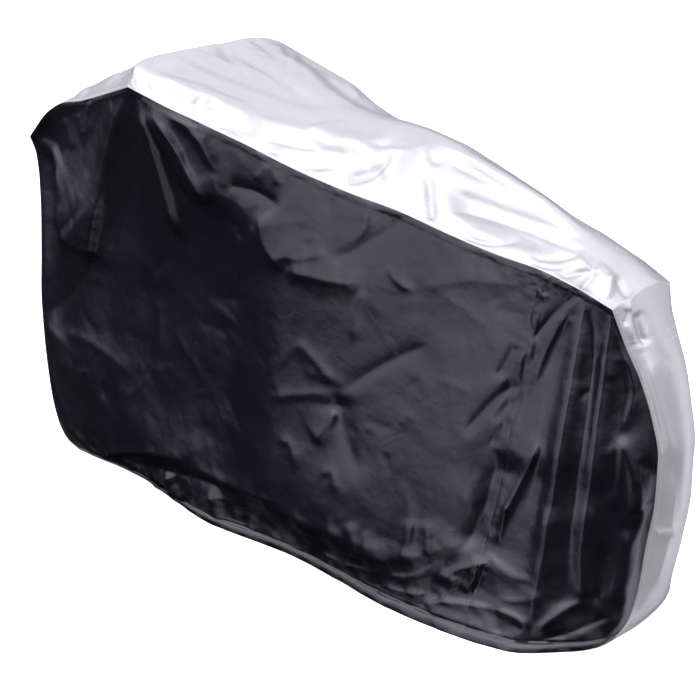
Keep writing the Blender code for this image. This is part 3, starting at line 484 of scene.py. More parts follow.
# Creases of the silver strips, in the photograph's pixels
NEAR_STRIP_CREASES = table(
    Crease,
    # nose, towards the front end
    (70, 98, 75, 92, 80, 85, 4, 4, -0.002),
    (78, 97, 83, 91, 88, 85, 4, 4, 0.002),
    (123, 68, 120, 78, 117, 88, 5, 5, -0.003),
    (129, 67, 132, 80, 136, 92, 6, 5, -0.006),
    (143, 77, 147, 88, 151, 98, 5, 4, -0.003),
    # edge between the flat top and the near slope
    (132, 65, 172, 84, 213, 104, 30, 16, 0.007),
    (213, 104, 226, 124, 262, 136, 16, 12, 0.006),
    (262, 136, 292, 149, 320, 152, 18, 12, 0.006),
    (320, 152, 340, 143, 380, 146, 14, 12, 0.005),
    (380, 146, 405, 151, 430, 145, 14, 12, 0.005),
    (206, 97, 215, 110, 225, 122, 6, 5, -0.007),
    (206, 96, 198, 103, 192, 110, 7, 5, -0.004),
    (212, 114, 209, 122, 208, 130, 4, 4, -0.003),
    # flat top, from its far edge
    (217, 43, 232, 60, 250, 80, 6, 6, -0.004),
    (217, 43, 262, 65, 310, 100, 9, 7, -0.007),
    (250, 36, 270, 50, 292, 63, 5, 5, -0.004),
    (275, 52, 285, 57, 295, 62, 4, 4, 0.003),
    (283, 45, 288, 51, 293, 57, 4, 4, -0.003),
    (300, 65, 322, 76, 345, 86, 5, 5, 0.003),
    (345, 86, 353, 92, 360, 97, 4, 4, 0.003),
    # middle
    (308, 130, 326, 127, 345, 123, 8, 6, 0.005),
    (262, 138, 290, 146, 320, 151, 6, 5, -0.005),
    (300, 133, 322, 149, 350, 155, 5, 4, -0.004),
    (350, 155, 361, 160, 372, 165, 4, 4, -0.003),
    (355, 140, 388, 145, 420, 145, 6, 6, -0.005),
    (393, 155, 374, 169, 345, 177, 6, 6, -0.008),
    (385, 170, 366, 178, 345, 183, 5, 5, -0.004),
    (255, 152, 270, 154, 285, 152, 4, 4, 0.003),
    (300, 168, 315, 168, 330, 165, 4, 4, -0.003),
    (310, 173, 322, 174, 335, 172, 4, 4, 0.003),
    (382, 175, 380, 185, 377, 195, 5, 5, -0.003),
    # waist
    (430, 150, 437, 162, 445, 152, 4, 4, -0.004),
    (428, 170, 431, 200, 433, 222, 6, 5, -0.008),
    # ridge and groove towards the rear
    (438, 143, 500, 178, 564, 217, 12, 11, 0.007),
    (445, 160, 500, 185, 560, 215, 6, 6, -0.005),
    (447, 190, 510, 212, 590, 240, 14, 13, -0.008),
    (445, 207, 505, 221, 580, 252, 6, 6, -0.005),
    # beside the near seam
    (458, 236, 490, 243, 522, 239, 5, 5, -0.004),
    (528, 255, 558, 258, 583, 250, 6, 5, -0.005),
    (583, 252, 592, 261, 600, 266, 5, 5, -0.005),
    (527, 264, 548, 267, 570, 266, 4, 4, -0.003),
    (555, 277, 580, 272, 600, 266, 5, 5, -0.005),
    # rear corner
    (597, 270, 588, 280, 580, 291, 7, 7, -0.007),
    (611, 274, 609, 287, 607, 301, 6, 6, 0.006),
    (617, 275, 623, 288, 630, 300, 6, 6, -0.007),
    (628, 309, 626, 317, 624, 326, 4, 4, -0.004),
    (630, 290, 630, 318, 634, 345, 7, 6, 0.005),
    (635, 310, 640, 328, 646, 346, 7, 6, -0.008),
    # rear strip
    (645, 352, 660, 410, 673, 462, 12, 14, 0.007),
    (654, 533, 665, 531, 676, 528, 6, 6, 0.005),
    (672, 470, 668, 530, 652, 590, 10, 12, 0.005),
)


def read_smoothly(keys, values, at, corners=()):
    """Reads a table's column between its rows, on a curve that never swings past them and bends
    sharply at the keys in corners only."""
    step = np.diff(keys)
    slope = np.diff(values) / step
    same_way = slope[:-1] * slope[1:] > 0
    total = np.where(same_way, slope[:-1] + slope[1:], 1.0)
    inner = np.where(same_way, 2 * slope[:-1] * slope[1:] / total, 0.0)
    corner = np.isin(keys[1:-1], corners)
    leaving = np.concatenate([slope[:1], np.where(corner, slope[1:], inner)])
    arriving = np.concatenate([np.where(corner, slope[:-1], inner), slope[-1:]])
    span = np.clip(np.searchsorted(keys, at, side="right") - 1, 0, len(step) - 1)
    t = (at - keys[span]) / step[span]
    rise = values[span] * (1 + 2 * t) * (1 - t) ** 2 + values[span + 1] * t**2 * (3 - 2 * t)
    lean = step[span] * t * (1 - t) * (leaving[span] * (1 - t) - arriving[span] * t)
    return rise + lean


def read_rows(rows, at, keys=None, corners=()):
    """A table's row at each of the given places, every column read smoothly between the rows."""
    columns = np.array(rows, dtype=float).T
    keys = columns[0] if keys is None else keys
    return type(rows[0])(*[read_smoothly(keys, column, at, corners) for column in columns])


def ease(share):
    """0 to 1 with a soft start and a soft end."""
    kept = np.clip(share, 0.0, 1.0)
    return kept * kept * (3 - 2 * kept)


def path_fractions(rows):
    """How far along the left seam each row of a table is, from 0 to 1."""
    points = np.array([(row.x, row.out, row.z) for row in rows])
    lengths = np.linalg.norm(np.diff(points, axis=0), axis=1)
    travelled = np.concatenate([[0.0], np.cumsum(lengths)])
    return travelled / travelled[-1]


def top_stations(places, corners=PEAKS):
    return read_rows(TOP_STATIONS, places, corners=corners)


def end_stations(rows, fractions):
    return read_rows(rows, fractions, path_fractions(rows))


def column_places(counts):
    """x on the top seam of each column."""
    stops = (FRONT_CORNER_X, FAN_START_X, PEAK_X, FAN_END_X, FLANK_X, JOIN_TOP_X, REAR_PEAK_X, REAR_CORNER_X)
    spans = [np.linspace(*span, endpoint=False) for span in zip(stops, stops[1:], counts)]
    return np.concatenate(spans + [[REAR_CORNER_X]])


def nearest(values, wanted):
    """Index of the value that is nearest to the one wanted."""
    return int(np.argmin(np.abs(values - wanted)))


def row_fractions(rows):
    """Share of the way down of each row, the rows closing up towards the top seam and the hem."""
    even = np.linspace(0.0, 1.0, rows + 1)
    return even - ROW_CLOSING * np.sin(2 * math.pi * even)


def seam_points(stations, side):
    """The strip's seam on one side."""
    forward = stations.lag if side == RIGHT else 0.0
    return np.stack([stations.x - forward, side * stations.out, stations.z], axis=-1)


def side_patch(places, fractions, side):
    """A side panel's points before it bulges and folds, [column][row], on a patch between its four edges."""
    top = seam_points(top_stations(places), side)
    rounded_top = seam_points(top_stations(places, ()), side)
    front = seam_points(end_stations(FRONT_STATIONS, fractions), side)
    rear = seam_points(end_stations(REAR_STATIONS, fractions), side)
    hem_x = read_rows(COLUMN_ENDS, places).hem_x
    on_floor = read_rows(HEM, hem_x)
    hem_out = on_floor.left_out if side == LEFT else on_floor.right_out
    hem = np.stack([hem_x, side * hem_out, np.zeros_like(hem_x)], axis=-1)
    along = (places - places[0]) / (places[-1] - places[0])
    u = along[:, None, None]
    v = fractions[None, :, None]
    rounding = ease(v / PEAK_SOFTENS_BY)
    below_seam = (1 - rounding) * top[:, None] + rounding * rounded_top[:, None]
    between_top_and_hem = (1 - v) * below_seam + v * hem[:, None]
    front_stands_off = front[None] - (1 - v) * top[0] - v * hem[0]
    rear_stands_off = rear[None] - (1 - v) * top[-1] - v * hem[-1]
    front_share = (1 - u) ** np.array(FRONT_FADING)
    rear_share = u ** np.array(REAR_FADING)
    return between_top_and_hem + front_share * front_stands_off + rear_share * rear_stands_off


def section_bulge(sections, places, fractions):
    """How far the cloth stands out of its patch, read between the rows and columns of a table."""
    by_place = np.stack(read_rows(sections, places)[1:], axis=1)
    return np.stack([read_smoothly(np.array(SIDE_SHARES), values, fractions) for values in by_place])


def curve_reach(start, control, end, across, up, steps=14):
    """Distance of each point from a curve, positive to the left of or below it, and its share along it."""
    t = np.linspace(0.0, 1.0, steps + 1)
    curve_a, curve_b = [
        (1 - t) ** 2 * start[c] + 2 * t * (1 - t) * control[c] + t**2 * end[c] for c in (0, 1)
    ]
    nearest = np.full(across.shape, np.inf)
    along = np.zeros(across.shape)
    left = np.ones(across.shape)
    for k in range(steps):
        run_a, run_b = curve_a[k + 1] - curve_a[k], curve_b[k + 1] - curve_b[k]
        off_a, off_b = across - curve_a[k], up - curve_b[k]
        share = np.clip((off_a * run_a + off_b * run_b) / (run_a**2 + run_b**2), 0.0, 1.0)
        distance = np.hypot(off_a - share * run_a, off_b - share * run_b)
        closer = distance < nearest
        nearest = np.where(closer, distance, nearest)
        along = np.where(closer, t[k] + share / steps, along)
        left = np.where(closer, np.sign(run_a * off_b - run_b * off_a), left)
    return nearest * left, along


def ends_faded(along, steepness, start):
    """1 along a line, and less towards both of its ends."""
    return ease(steepness * along + start) * ease(steepness * (1 - along) + start)


def fold_height(fold, across, up):
    """Height of one main fold over points of the plane in which it is drawn."""
    *line, width, height = fold
    distance, along = curve_reach(line[:2], line[2:4], line[4:], across, up)
    opened = FOLD_START_SHARE + (1 - FOLD_START_SHARE) * ease(2 * along)
    near = np.clip(1 - np.abs(distance) / (width * opened), 0.0, 1.0)
    crest = near * (1 - FOLD_SOFTNESS) + FOLD_SOFTNESS * ease(near)
    return height * opened * crest * ends_faded(along, *FOLD_ENDS)


def crease_height(crease, across, down, rounding, steps=14):
    """Height of one small crease, with a flank of its own to each side and a crest rounded over rounding."""
    start, middle, end = np.array(crease[:6]).reshape(3, 2)
    distance, along = curve_reach(start, 2 * middle - (start + end) / 2, end, across, down, steps)
    reach = np.where(distance > 0, crease.left, crease.right)
    crest = np.exp(-CREASE_FALL * (np.hypot(distance, rounding) - rounding) / reach)
    return crease.high * crest * ends_faded(along, *CREASE_ENDS)


def outward(points, side):
    """Unit normals of a grid of points, facing out of the cover."""
    normal = np.cross(np.gradient(points, axis=0), np.gradient(points, axis=1))
    return side * normal / np.linalg.norm(normal, axis=2, keepdims=True)


def camera_axes():
    """The camera's backward, right and up directions."""
    azimuth = math.radians(VIEW_AZIMUTH)
    elevation = math.radians(VIEW_ELEVATION)
    level = math.cos(elevation)
    back = np.array([math.sin(azimuth) * level, -math.cos(azimuth) * level, math.sin(elevation)])
    right = np.array([math.cos(azimuth), math.sin(azimuth), 0.0])
    return back, right, np.cross(back, right)


def photo_pixels(points):
    """Where points of the cover lie in the photograph, in pixels from its top left corner."""
    back, right, up = camera_axes()
    from_eye = points - (np.array(VIEW_TARGET) + VIEW_DISTANCE * back)
    scale = PHOTO_FOCAL_PIXELS / -(from_eye @ back)
    return PHOTO_SIZE / 2 + scale * (from_eye @ right), PHOTO_SIZE / 2 - scale * (from_eye @ up)


def edge_distance(points, edge):
    return np.linalg.norm(points - points[edge], axis=2)


def freedom(points, reach, *edges):
    """0 on the given edges of a grid of points, and 1 from reach away from them."""
    return math.prod(ease(edge_distance(points, EDGES[edge]) / reach) for edge in edges)


def run_length(points, axis):
    """How far each point of a grid is along its column or row."""
    steps = np.linalg.norm(np.diff(points, axis=axis), axis=2)
    lead = [(0, 0), (0, 0)]
    lead[axis] = (1, 0)
    return np.pad(np.cumsum(steps, axis=axis), lead)


def crumple(points, size, seed, stretch=1.0):
    """Crumpled cloth between -1 and 1, its wrinkles about size apart and stretch times longer downwards."""
    scaled = points / np.array([size, size, size * stretch]) + seed
    flat = [noise.fractal(Vector(place), *CRUMPLE) for place in scaled.reshape(-1, 3).tolist()]
    return np.array(flat).reshape(points.shape[:2])


def scattered_creases(across, up, seed):
    """Short straight creases that storage has left in the cloth."""
    draw = np.random.RandomState(seed)
    low = np.array([across.min(), up.min()])
    high = np.array([across.max(), up.max()])
    total = np.zeros(across.shape)
    for _ in range(STORAGE_CREASES):
        start = low + draw.rand(2) * (high - low)
        turn = draw.uniform(0, math.pi)
        end = start + draw.uniform(*STORAGE_CREASE_LENGTHS) * np.array([math.cos(turn), math.sin(turn)])
        high_by = draw.uniform(*STORAGE_CREASE_HEIGHTS) * draw.choice([-1, 1])
        flanks = draw.uniform(*STORAGE_CREASE_FLANKS, 2)
        crease = Crease(*start, *(start + end) / 2, *end, *flanks, high_by)
        total += crease_height(crease, across, up, STORAGE_CREST, 1)
    return total


def felled_seam(points, seam):
    """Height of the turned-under cloth beside a seam, and the puckers that its thread draws in."""
    distance = edge_distance(points, seam)
    band = ease(distance / SEAM_STEP) * (1 - ease((distance - SEAM_ALLOWANCE) / SEAM_STEP))
    beside = np.exp(-distance / PUCKER_REACH) * ease(distance / PUCKER_START)
    return SEAM_RISE * band + SEAM_PUCKER * beside * crumple(points, PUCKER_SPACING, 31.0)


def side_base(places, fractions, side):
    """A side's points with its main folds, [column][row], the hem as the last row."""
    patch = side_patch(places, fractions, side)
    sections, folds = (LEFT_SECTIONS, LEFT_FOLDS) if side == LEFT else (RIGHT_SECTIONS, RIGHT_FOLDS)
    rise = sum(fold_height(fold, patch[:, :, 0], patch[:, :, 2]) for fold in folds)
    let_through = HEM_LETS_THROUGH + (1 - HEM_LETS_THROUGH) * ease((1 - fractions) * HEM_GRIP)
    rise = rise * let_through[None, :] * freedom(patch, SEAM_HOLD, "top")
    stand_out = section_bulge(sections, places, fractions) + rise
    stand_out = stand_out * freedom(patch, SEAM_HOLD, "first", "last")
    return patch + stand_out[:, :, None] * outward(patch, side) - MIDDLE


def level_at_hem(facing, to_hem):
    """Normals that turn level towards the hem."""
    turned = facing.copy()
    turned[:, :, 2] *= ease(to_hem / HEM_LEVEL_HEIGHT)
    return turned / np.linalg.norm(turned, axis=2, keepdims=True)


def side_cloth(sizes, places, fractions, side):
    """A side's points with all its folds, creases, wrinkles, gathers and hem."""
    base = side_base(places, fractions, side)
    to_hem = run_length(base[:, ::-1], 1)[:, ::-1]
    facing = level_at_hem(outward(base, side), to_hem)
    if side == LEFT:
        pixels = photo_pixels(base)
        creases = NEAR_SIDE_CREASES + NEAR_REAR_CREASES
        rise = sum(crease_height(crease, *pixels, CREST_PIXELS) for crease in creases)
    else:
        rise = FAR_CRUMPLE * crumple(base, FAR_CRUMPLE_SPACING, 11.0, stretch=1.4)
    rise += sizes.crumple * crumple(base, CRUMPLE_SPACING, 3.0 * side)
    rise += scattered_creases(base[:, :, 0], base[:, :, 2], 20 + side)
    above_hem = np.exp(-to_hem / GATHER_REACH) * ease(to_hem / GATHER_START)
    rise += above_hem * sizes.gather * crumple(base, GATHER_SPACING, 7.0, stretch=1 / 1.2)
    casing = np.clip(1 - np.abs(to_hem - sizes.casing / 2) / (sizes.casing / 2), 0, 1)
    stitched = np.clip(1 - np.abs(to_hem - sizes.casing) / CASING_GROOVE_WIDTH, 0, 1)
    rise += sizes.casing_puff * np.sqrt(casing) - CASING_GROOVE_DEPTH * ease(stitched)
    join = nearest(places, JOIN_TOP_X)
    rise = rise * freedom(base, CREASE_HOLD, "top", "first", "last")
    rise += felled_seam(base, EDGES["top"]) + felled_seam(base, np.s_[join : join + 1])
    cloth = base + rise[:, :, None] * facing
    cloth[:, -1, 2] = 0.0
    cloth[:, :, 2] = np.maximum(cloth[:, :, 2], 0.0)
    return cloth


def strip_base(stations, across):
    """The strip's points, [section][place across], across running from -1 on the left to 1 on the right."""
    left = seam_points(stations, LEFT)
    right = seam_points(stations, RIGHT)
    crown = np.stack([stations.crown_x, np.zeros_like(stations.crown_x), stations.crown_z], axis=-1)
    t = across[None, :, None]
    straight = left[:, None] * (1 - t) / 2 + right[:, None] * (1 + t) / 2
    arch = 1 - np.abs(across)[None, :] ** stations.square[:, None]
    return straight + arch[:, :, None] * (crown - (left + right) / 2)[:, None]


def strip_cloth(sizes, stations, across, folds=(), creases=()):
    """The strip's points with its folds, creases and wrinkles."""
    base = strip_base(stations, across)
    rise = sum([fold_height(fold, base[:, :, 0], base[:, :, 1]) for fold in folds], np.zeros(base.shape[:2]))
    rise = rise * freedom(base, SEAM_HOLD, "top", "hem")
    base = base + rise[:, :, None] * outward(base, RIGHT) - MIDDLE
    facing = outward(base, RIGHT)
    near_side = ease((facing @ camera_axes()[0] - TURNED_AWAY) / FACING_RANGE)
    pixels = photo_pixels(base)
    rise = STRIP_CRUMPLE_SHARE * sizes.crumple * crumple(base, STRIP_CRUMPLE_SPACING, 5.0)
    for crease in creases:
        rise += STIFFNESS * near_side * crease_height(crease, *pixels, CREST_PIXELS)
    return base + (rise * freedom(base, CREASE_HOLD, "top", "hem"))[:, :, None] * facing


def strip_places(columns):
    """Places across the strip, closer together where its section turns down to the seams."""
    return np.sin(np.linspace(-1.0, 1.0, columns + 1) * math.pi / 2)


def shell(points, side, thickness):
    """Vertices and faces of a closed sheet with its outer face on a grid of points."""
    columns, rows = points.shape[:2]
    count = columns * rows
    facing = outward(points, side).reshape(-1, 3)
    outer = points.reshape(-1, 3)
    low = outer[:, 2] < thickness  # these keep their height, so that nothing reaches below the floor
    sideways = 0.001 * math.copysign(1, outer[low, 1].sum())
    facing[low] = facing[low] * np.array([1, 1, 0]) + np.array([0, sideways, 0])
    facing[low] /= np.linalg.norm(facing[low], axis=1, keepdims=True)
    index = np.arange(count).reshape(columns, rows)
    a, b = index[:-1, :-1].ravel(), index[1:, :-1].ravel()
    c, d = index[1:, 1:].ravel(), index[:-1, 1:].ravel()
    outside = np.stack([a, b, c, d] if side == RIGHT else [d, c, b, a], axis=1)
    inside = outside[:, ::-1] + count
    rim = np.concatenate([index[:, 0], index[-1, 1:], index[-2::-1, -1], index[0, -2:0:-1]])
    after = np.roll(rim, -1)
    edge = [rim, rim + count, after + count, after]
    faces = np.concatenate([outside, inside, np.stack(edge if side == RIGHT else edge[::-1], axis=1)])
    return np.concatenate([outer, outer - thickness * facing]), faces


def add_object(name, data):
    made = bpy.data.objects.new(name, data)
    bpy.context.scene.collection.objects.link(made)
    return made


def add_sheet(name, points, side, thickness, material):
    """One piece of cloth as an object, with a map of its flat cloth in metres."""
    vertices, faces = shell(points, side, thickness)
    mesh = bpy.data.meshes.new(name)
    mesh.from_pydata(vertices.tolist(), [], faces.tolist())
    flat = np.stack([run_length(points, 0), run_length(points, 1)], axis=-1).reshape(-1, 2)
    corners = np.zeros(len(mesh.loops), dtype=np.int32)
    mesh.loops.foreach_get("vertex_index", corners)
    layer = mesh.uv_layers.new(name="flat_cloth")
    layer.data.foreach_set("uv", np.tile(flat, (2, 1))[corners].astype(np.float32).ravel())
    mesh.materials.append(material)
    mesh.shade_smooth()
    mesh.set_sharp_from_angle(angle=SHARP_ANGLE)
    return add_object(name, mesh)


def line_beside(points, facing, edge, inset):
    """Points and normals of a line that runs beside one edge of a grid."""
    grids = []
    for grid in (points, facing):
        turned = grid if edge in ("top", "hem") else grid.swapaxes(0, 1)
        grids.append(turned[:, ::-1] if edge in ("hem", "last") else turned)
    away = run_length(grids[0], 1)
    return [
        np.array([[np.interp(inset, a, row[:, c]) for c in range(3)] for a, row in zip(away, grid)])
        for grid in grids
    ]


def stitch_boxes(line, up):
    """Corners of the stitches along a line, eight for each, the upper four drawn together."""
    travelled = np.concatenate([[0.0], np.cumsum(np.linalg.norm(np.diff(line, axis=0), axis=1))])
    at = np.arange(STITCH_SPACING, travelled[-1] - STITCH_SPACING, STITCH_SPACING)

    def read(values, places):
        return np.stack([np.interp(places, travelled, values[:, c]) for c in range(3)], axis=1)

    middle = read(line, at)
    lift = read(up, at)
    lift = lift / np.linalg.norm(lift, axis=1, keepdims=True)
    run = read(line, at + 0.001) - read(line, at - 0.001)
    run = run / np.linalg.norm(run, axis=1, keepdims=True)
    side = np.cross(lift, run)
    corners = []
    for height, narrow in ((-STITCH_SINK, 1.0), (STITCH_HEIGHT, STITCH_TOP_SHARE)):
        for along, across in ((-1, -1), (1, -1), (1, 1), (-1, 1)):
            reach = along * narrow * STITCH_LENGTH / 2 * run + across * narrow * STITCH_WIDTH / 2 * side
            corners.append(middle + reach + height * lift)
    return np.stack(corners, axis=1).reshape(-1, 3)


def add_stitches(node, points, side, edges, material):
    """The rows of stitches of one piece of cloth, edges giving each row's edge and inset."""
    facing = outward(points, side)
    rows = [stitch_boxes(*line_beside(points, facing, edge, inset)) for edge, inset in edges]
    corners = np.concatenate(rows)
    starts = np.arange(0, len(corners), 8)[:, None, None]
    faces = (starts + np.array(STITCH_FACES)[None]).reshape(-1, 4)
    mesh = bpy.data.meshes.new(f"{node}_stitches")
    mesh.from_pydata(corners.tolist(), [], faces.tolist())
    mesh.materials.append(material)
    stitches = add_object(f"{node}_stitches", mesh)
    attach(stitches, BODY)
    return stitches


def declare(piece, node):
    """Attaches a sheet to the body and hides the part of model.glb that it stands for."""
    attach(piece, BODY)
    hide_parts(node)


def feed(tree, node, inputs):
    """Sets a node's inputs, each to a value or to the socket that feeds it."""
    for name, value in inputs.items():
        if isinstance(value, bpy.types.NodeSocket):
            tree.links.new(value, node.inputs[name])
        else:
            node.inputs[name].default_value = value


def add_node(tree, kind, inputs=None, **settings):
    """Adds a shader node with its settings and inputs."""
    node = tree.nodes.new(f"ShaderNode{kind}")
    for name, value in settings.items():
        setattr(node, name, value)
    feed(tree, node, inputs or {})
    return node


def add_level(tree, source, low, high, amount=1.0, kind="SMOOTHSTEP"):
    """A value that rises to amount while source goes from low to high."""
    inputs = {"Value": source, "From Min": low, "From Max": high, "To Min": 0.0, "To Max": amount}
    return add_node(tree, "MapRange", inputs, interpolation_type=kind).outputs["Result"]


def add_math(tree, operation, first, *others):
    """The sum, product or other result of two or more sockets or numbers, taken in turn."""
    for other in others:
        first = add_node(tree, "Math", {0: first, 1: other}, operation=operation).outputs["Value"]
    return first


def add_vector_math(tree, operation, *values, output="Vector"):
    return add_node(tree, "VectorMath", dict(enumerate(values)), operation=operation).outputs[output]


def mix_colours(tree, share, first, second):
    inputs = {"Factor": share, "A": first, "B": second}
    return add_node(tree, "Mix", inputs, data_type="RGBA").outputs["Result"]


def add_shades(tree, share, colour, darkest, lightest):
    """A colour between a darker and a lighter shade of itself."""
    ends = [(*[shade * value for value in colour], 1.0) for shade in (darkest, lightest)]
    return mix_colours(tree, share, *ends)


def grain_group():
    """Shader node group of the cloth's surface: its height, and masks of its shade and of dust."""
    tree = bpy.data.node_groups.get("coated_cloth_surface")
    if tree:
        return tree
    tree = bpy.data.node_groups.new("coated_cloth_surface", "ShaderNodeTree")
    tree.interface.new_socket("Wrinkle Height", in_out="INPUT", socket_type="NodeSocketFloat")
    for name in ("Height", "Shade", "Dust"):
        tree.interface.new_socket(name, in_out="OUTPUT", socket_type="NodeSocketFloat")
    given = tree.nodes.new("NodeGroupInput")
    result = tree.nodes.new("NodeGroupOutput")
    place = add_node(tree, "TexCoord").outputs["Object"]

    def add_noise(scale, detail, output="Fac"):
        inputs = {"Vector": place, "Scale": scale, "Detail": detail}
        return add_node(tree, "TexNoise", inputs).outputs[output]

    # crumpled facets with sharp edges, bent a little by a soft noise
    wander = add_noise(scale=7.0, detail=2.0, output="Color")
    bent = add_vector_math(tree, "MULTIPLY_ADD", wander, (BEND, BEND, BEND), place)
    height = 0.0
    for scale, share in FACETS:
        inputs = {"Vector": bent, "Scale": scale}
        cell = add_node(tree, "TexVoronoi", inputs)
        lean = add_vector_math(tree, "SUBTRACT", cell.outputs["Color"], (0.5, 0.5, 0.5))
        offset = add_vector_math(tree, "SUBTRACT", bent, cell.outputs["Position"])
        facet = add_vector_math(tree, "DOT_PRODUCT", lean, offset, output="Value")
        edge = add_node(tree, "TexVoronoi", inputs, feature="DISTANCE_TO_EDGE")
        inside = add_level(tree, edge.outputs["Distance"], 0.0, 0.25, share)
        height = add_math(tree, "ADD", add_math(tree, "MULTIPLY", facet, inside, FACET_LEAN), height)
    fine = add_math(tree, "MULTIPLY", add_noise(scale=70.0, detail=5.0), FINE_WRINKLES)
    height = add_math(tree, "MULTIPLY", add_math(tree, "ADD", height, fine), given.outputs["Wrinkle Height"])

    # plain weave of fine threads
    flat = add_node(tree, "UVMap", uv_map="flat_cloth").outputs["UV"]
    inputs = {"Vector": flat, "Scale": 1 / (20 * THREAD_PITCH)}
    threads = [add_node(tree, "TexWave", inputs, bands_direction=way).outputs["Fac"] for way in ("X", "Y")]
    weave = add_math(tree, "MULTIPLY", add_math(tree, "ADD", *threads), WEAVE_HEIGHT)

    # patches of dust near the floor
    up = add_node(tree, "SeparateXYZ", {"Vector": place}).outputs["Z"]
    near_floor = add_level(tree, up, DUST_TOP, 0.0)
    patchy = add_level(tree, add_noise(scale=24.0, detail=6.0), 0.42, 0.70)
    results = {
        "Height": add_math(tree, "ADD", height, weave),
        "Shade": add_noise(scale=3.5, detail=6.0),
        "Dust": add_math(tree, "MULTIPLY", near_floor, patchy),
    }
    feed(tree, result, results)
    return tree


def new_material(name):
    """A material, its tree and its shader."""
    material = bpy.data.materials.new(name)
    material.use_nodes = True
    return material, material.node_tree, material.node_tree.nodes["Principled BSDF"]


def coated_cloth(name, colour, dust_colour, roughness, metallic, wrinkles):
    """Thin woven cloth with a smooth coating."""
    if name in bpy.data.materials:
        return bpy.data.materials[name]
    material, tree, shader = new_material(name)
    surface = add_node(tree, "Group", {"Wrinkle Height": wrinkles}, node_tree=grain_group()).outputs
    shaded = add_shades(tree, surface["Shade"], colour, darkest=0.82, lightest=1.18)
    cover = add_math(tree, "MULTIPLY", surface["Dust"], DUST_COVER)
    uneven = add_level(tree, surface["Shade"], 0.3, 0.7, GLOSS_SPREAD, "LINEAR")
    gloss = add_math(tree, "ADD", uneven, roughness - GLOSS_SPREAD / 2)
    dusty = add_math(tree, "MULTIPLY", surface["Dust"], DUST_ROUGHNESS)
    bump = add_node(tree, "Bump", {"Strength": 1.0, "Distance": 1.0, "Height": surface["Height"]})
    inputs = {
        "Metallic": metallic,
        "Base Color": mix_colours(tree, cover, shaded, (*dust_colour, 1.0)),
        "Roughness": add_math(tree, "ADD", gloss, dusty),
        "Normal": bump.outputs["Normal"],
    }
    feed(tree, shader, inputs)
    return material


def thread_material(name, colour):
    """Sewing thread, the light and shade on its twisted plies painted as lighter and darker bands along each
    stitch.
    """
    if name in bpy.data.materials:
        return bpy.data.materials[name]
    material, tree, shader = new_material(name)
    inputs = {"Vector": add_node(tree, "TexCoord").outputs["Object"], "Scale": 160.0}
    # painted light and shade: light bands where the ply ridges would catch the light, dark bands for the shaded
    # grooves between them
    painted_twist_shade = add_node(tree, "TexWave", inputs, bands_direction="DIAGONAL").outputs["Fac"]
    shades = add_shades(tree, painted_twist_shade, colour, darkest=0.6, lightest=1.3)
    feed(tree, shader, {"Roughness": 0.6, "Base Color": shades})
    return material


class CoverSizes(bpy.types.PropertyGroup):
    """Sizes of the cloth and its making."""

    thickness: bpy.props.FloatProperty(
        name="Thickness", description="Thickness of the sheets", default=0.001, min=0.0005, unit="LENGTH"
    )
    crumple: bpy.props.FloatProperty(
        name="Crumple", description="Height of the small wrinkles", default=0.0012, min=0.0, unit="LENGTH"
    )
    gather: bpy.props.FloatProperty(
        name="Gathers", description="Height of the gathers by the hem", default=0.008, min=0.0, unit="LENGTH"
    )
    casing: bpy.props.FloatProperty(
        name="Hem casing", description="Height of the hem's casing", default=0.024, min=0.005, unit="LENGTH"
    )
    casing_puff: bpy.props.FloatProperty(
        name="Casing puff", description="How far the casing stands out", default=0.004, min=0.0, unit="LENGTH"
    )


class CoverColours(bpy.types.PropertyGroup):
    """Colours of the cloth and the studio."""

    black_cloth: bpy.props.FloatVectorProperty(
        name="Black cloth",
        description="Colour of the sides",
        default=(0.0016, 0.0013, 0.0024),
        subtype="COLOR",
    )
    silver_cloth: bpy.props.FloatVectorProperty(
        name="Silver cloth", description="Colour of the strip", default=(0.315, 0.32, 0.30), subtype="COLOR"
    )
    floor: bpy.props.FloatVectorProperty(
        name="Floor", description="Colour of the floor", default=(0.9, 0.9, 0.9), subtype="COLOR"
    )


def black_finish(context):
    """The black cloth and its thread."""
    cloth = coated_cloth(
        "black_coated_cloth",
        context.scene.cover_colours.black_cloth,
        dust_colour=(0.05, 0.05, 0.05),
        roughness=0.27,
        metallic=0.0,
        wrinkles=0.30,
    )
    return cloth, thread_material("black_thread", (0.006, 0.006, 0.008))


def silver_finish(context):
    """The silver cloth and its thread."""
    cloth = coated_cloth(
        "silver_coated_cloth",
        context.scene.cover_colours.silver_cloth,
        dust_colour=(0.30, 0.29, 0.28),
        roughness=0.34,
        metallic=0.5,
        wrinkles=0.35,
    )
    return cloth, thread_material("silver_thread", (0.50, 0.50, 0.54))


# The finish of each material slot of the record
FINISHES = {"black_cloth": black_finish, "silver_cloth": silver_finish}


def sew_piece(context, node, slot_name, points, side, insets):
    """One piece of cloth with its rows of stitches, insets giving the place of the row beside each edge."""
    cloth, thread = FINISHES[slot_name](context)
    piece = add_sheet(f"{node}_cloth", points, side, context.scene.cover_sizes.thickness, cloth)
    stitches = add_stitches(node, points, side, insets.items(), thread)
    declare(piece, node)


def make_side(context, side, counts, rows):
    """Both panels of one side, cut apart at the upright join."""
    sizes = context.scene.cover_sizes
    places = column_places(counts)
    cloth = side_cloth(sizes, places, row_fractions(rows), side)
    join = nearest(places, JOIN_TOP_X)
    name = "left" if side == LEFT else "right"
    insets = {"top": STITCH_INSET, "hem": sizes.casing, "first": STITCH_INSET, "last": STITCH_INSET}
    sew_piece(context, f"{name}_side_panel", "black_cloth", cloth[: join + 1], side, insets)
    sew_piece(context, f"{name}_rear_panel", "black_cloth", cloth[join:], side, insets)


class COVER_OT_left_side(bpy.types.Operator):
    """Make the two black sheets of the left side"""

    bl_idname = "cover.left_side"
    bl_label = "Left side"

    def execute(self, context):
        make_side(context, LEFT, FINE_COLUMNS, FINE_ROWS)
        return {"FINISHED"}


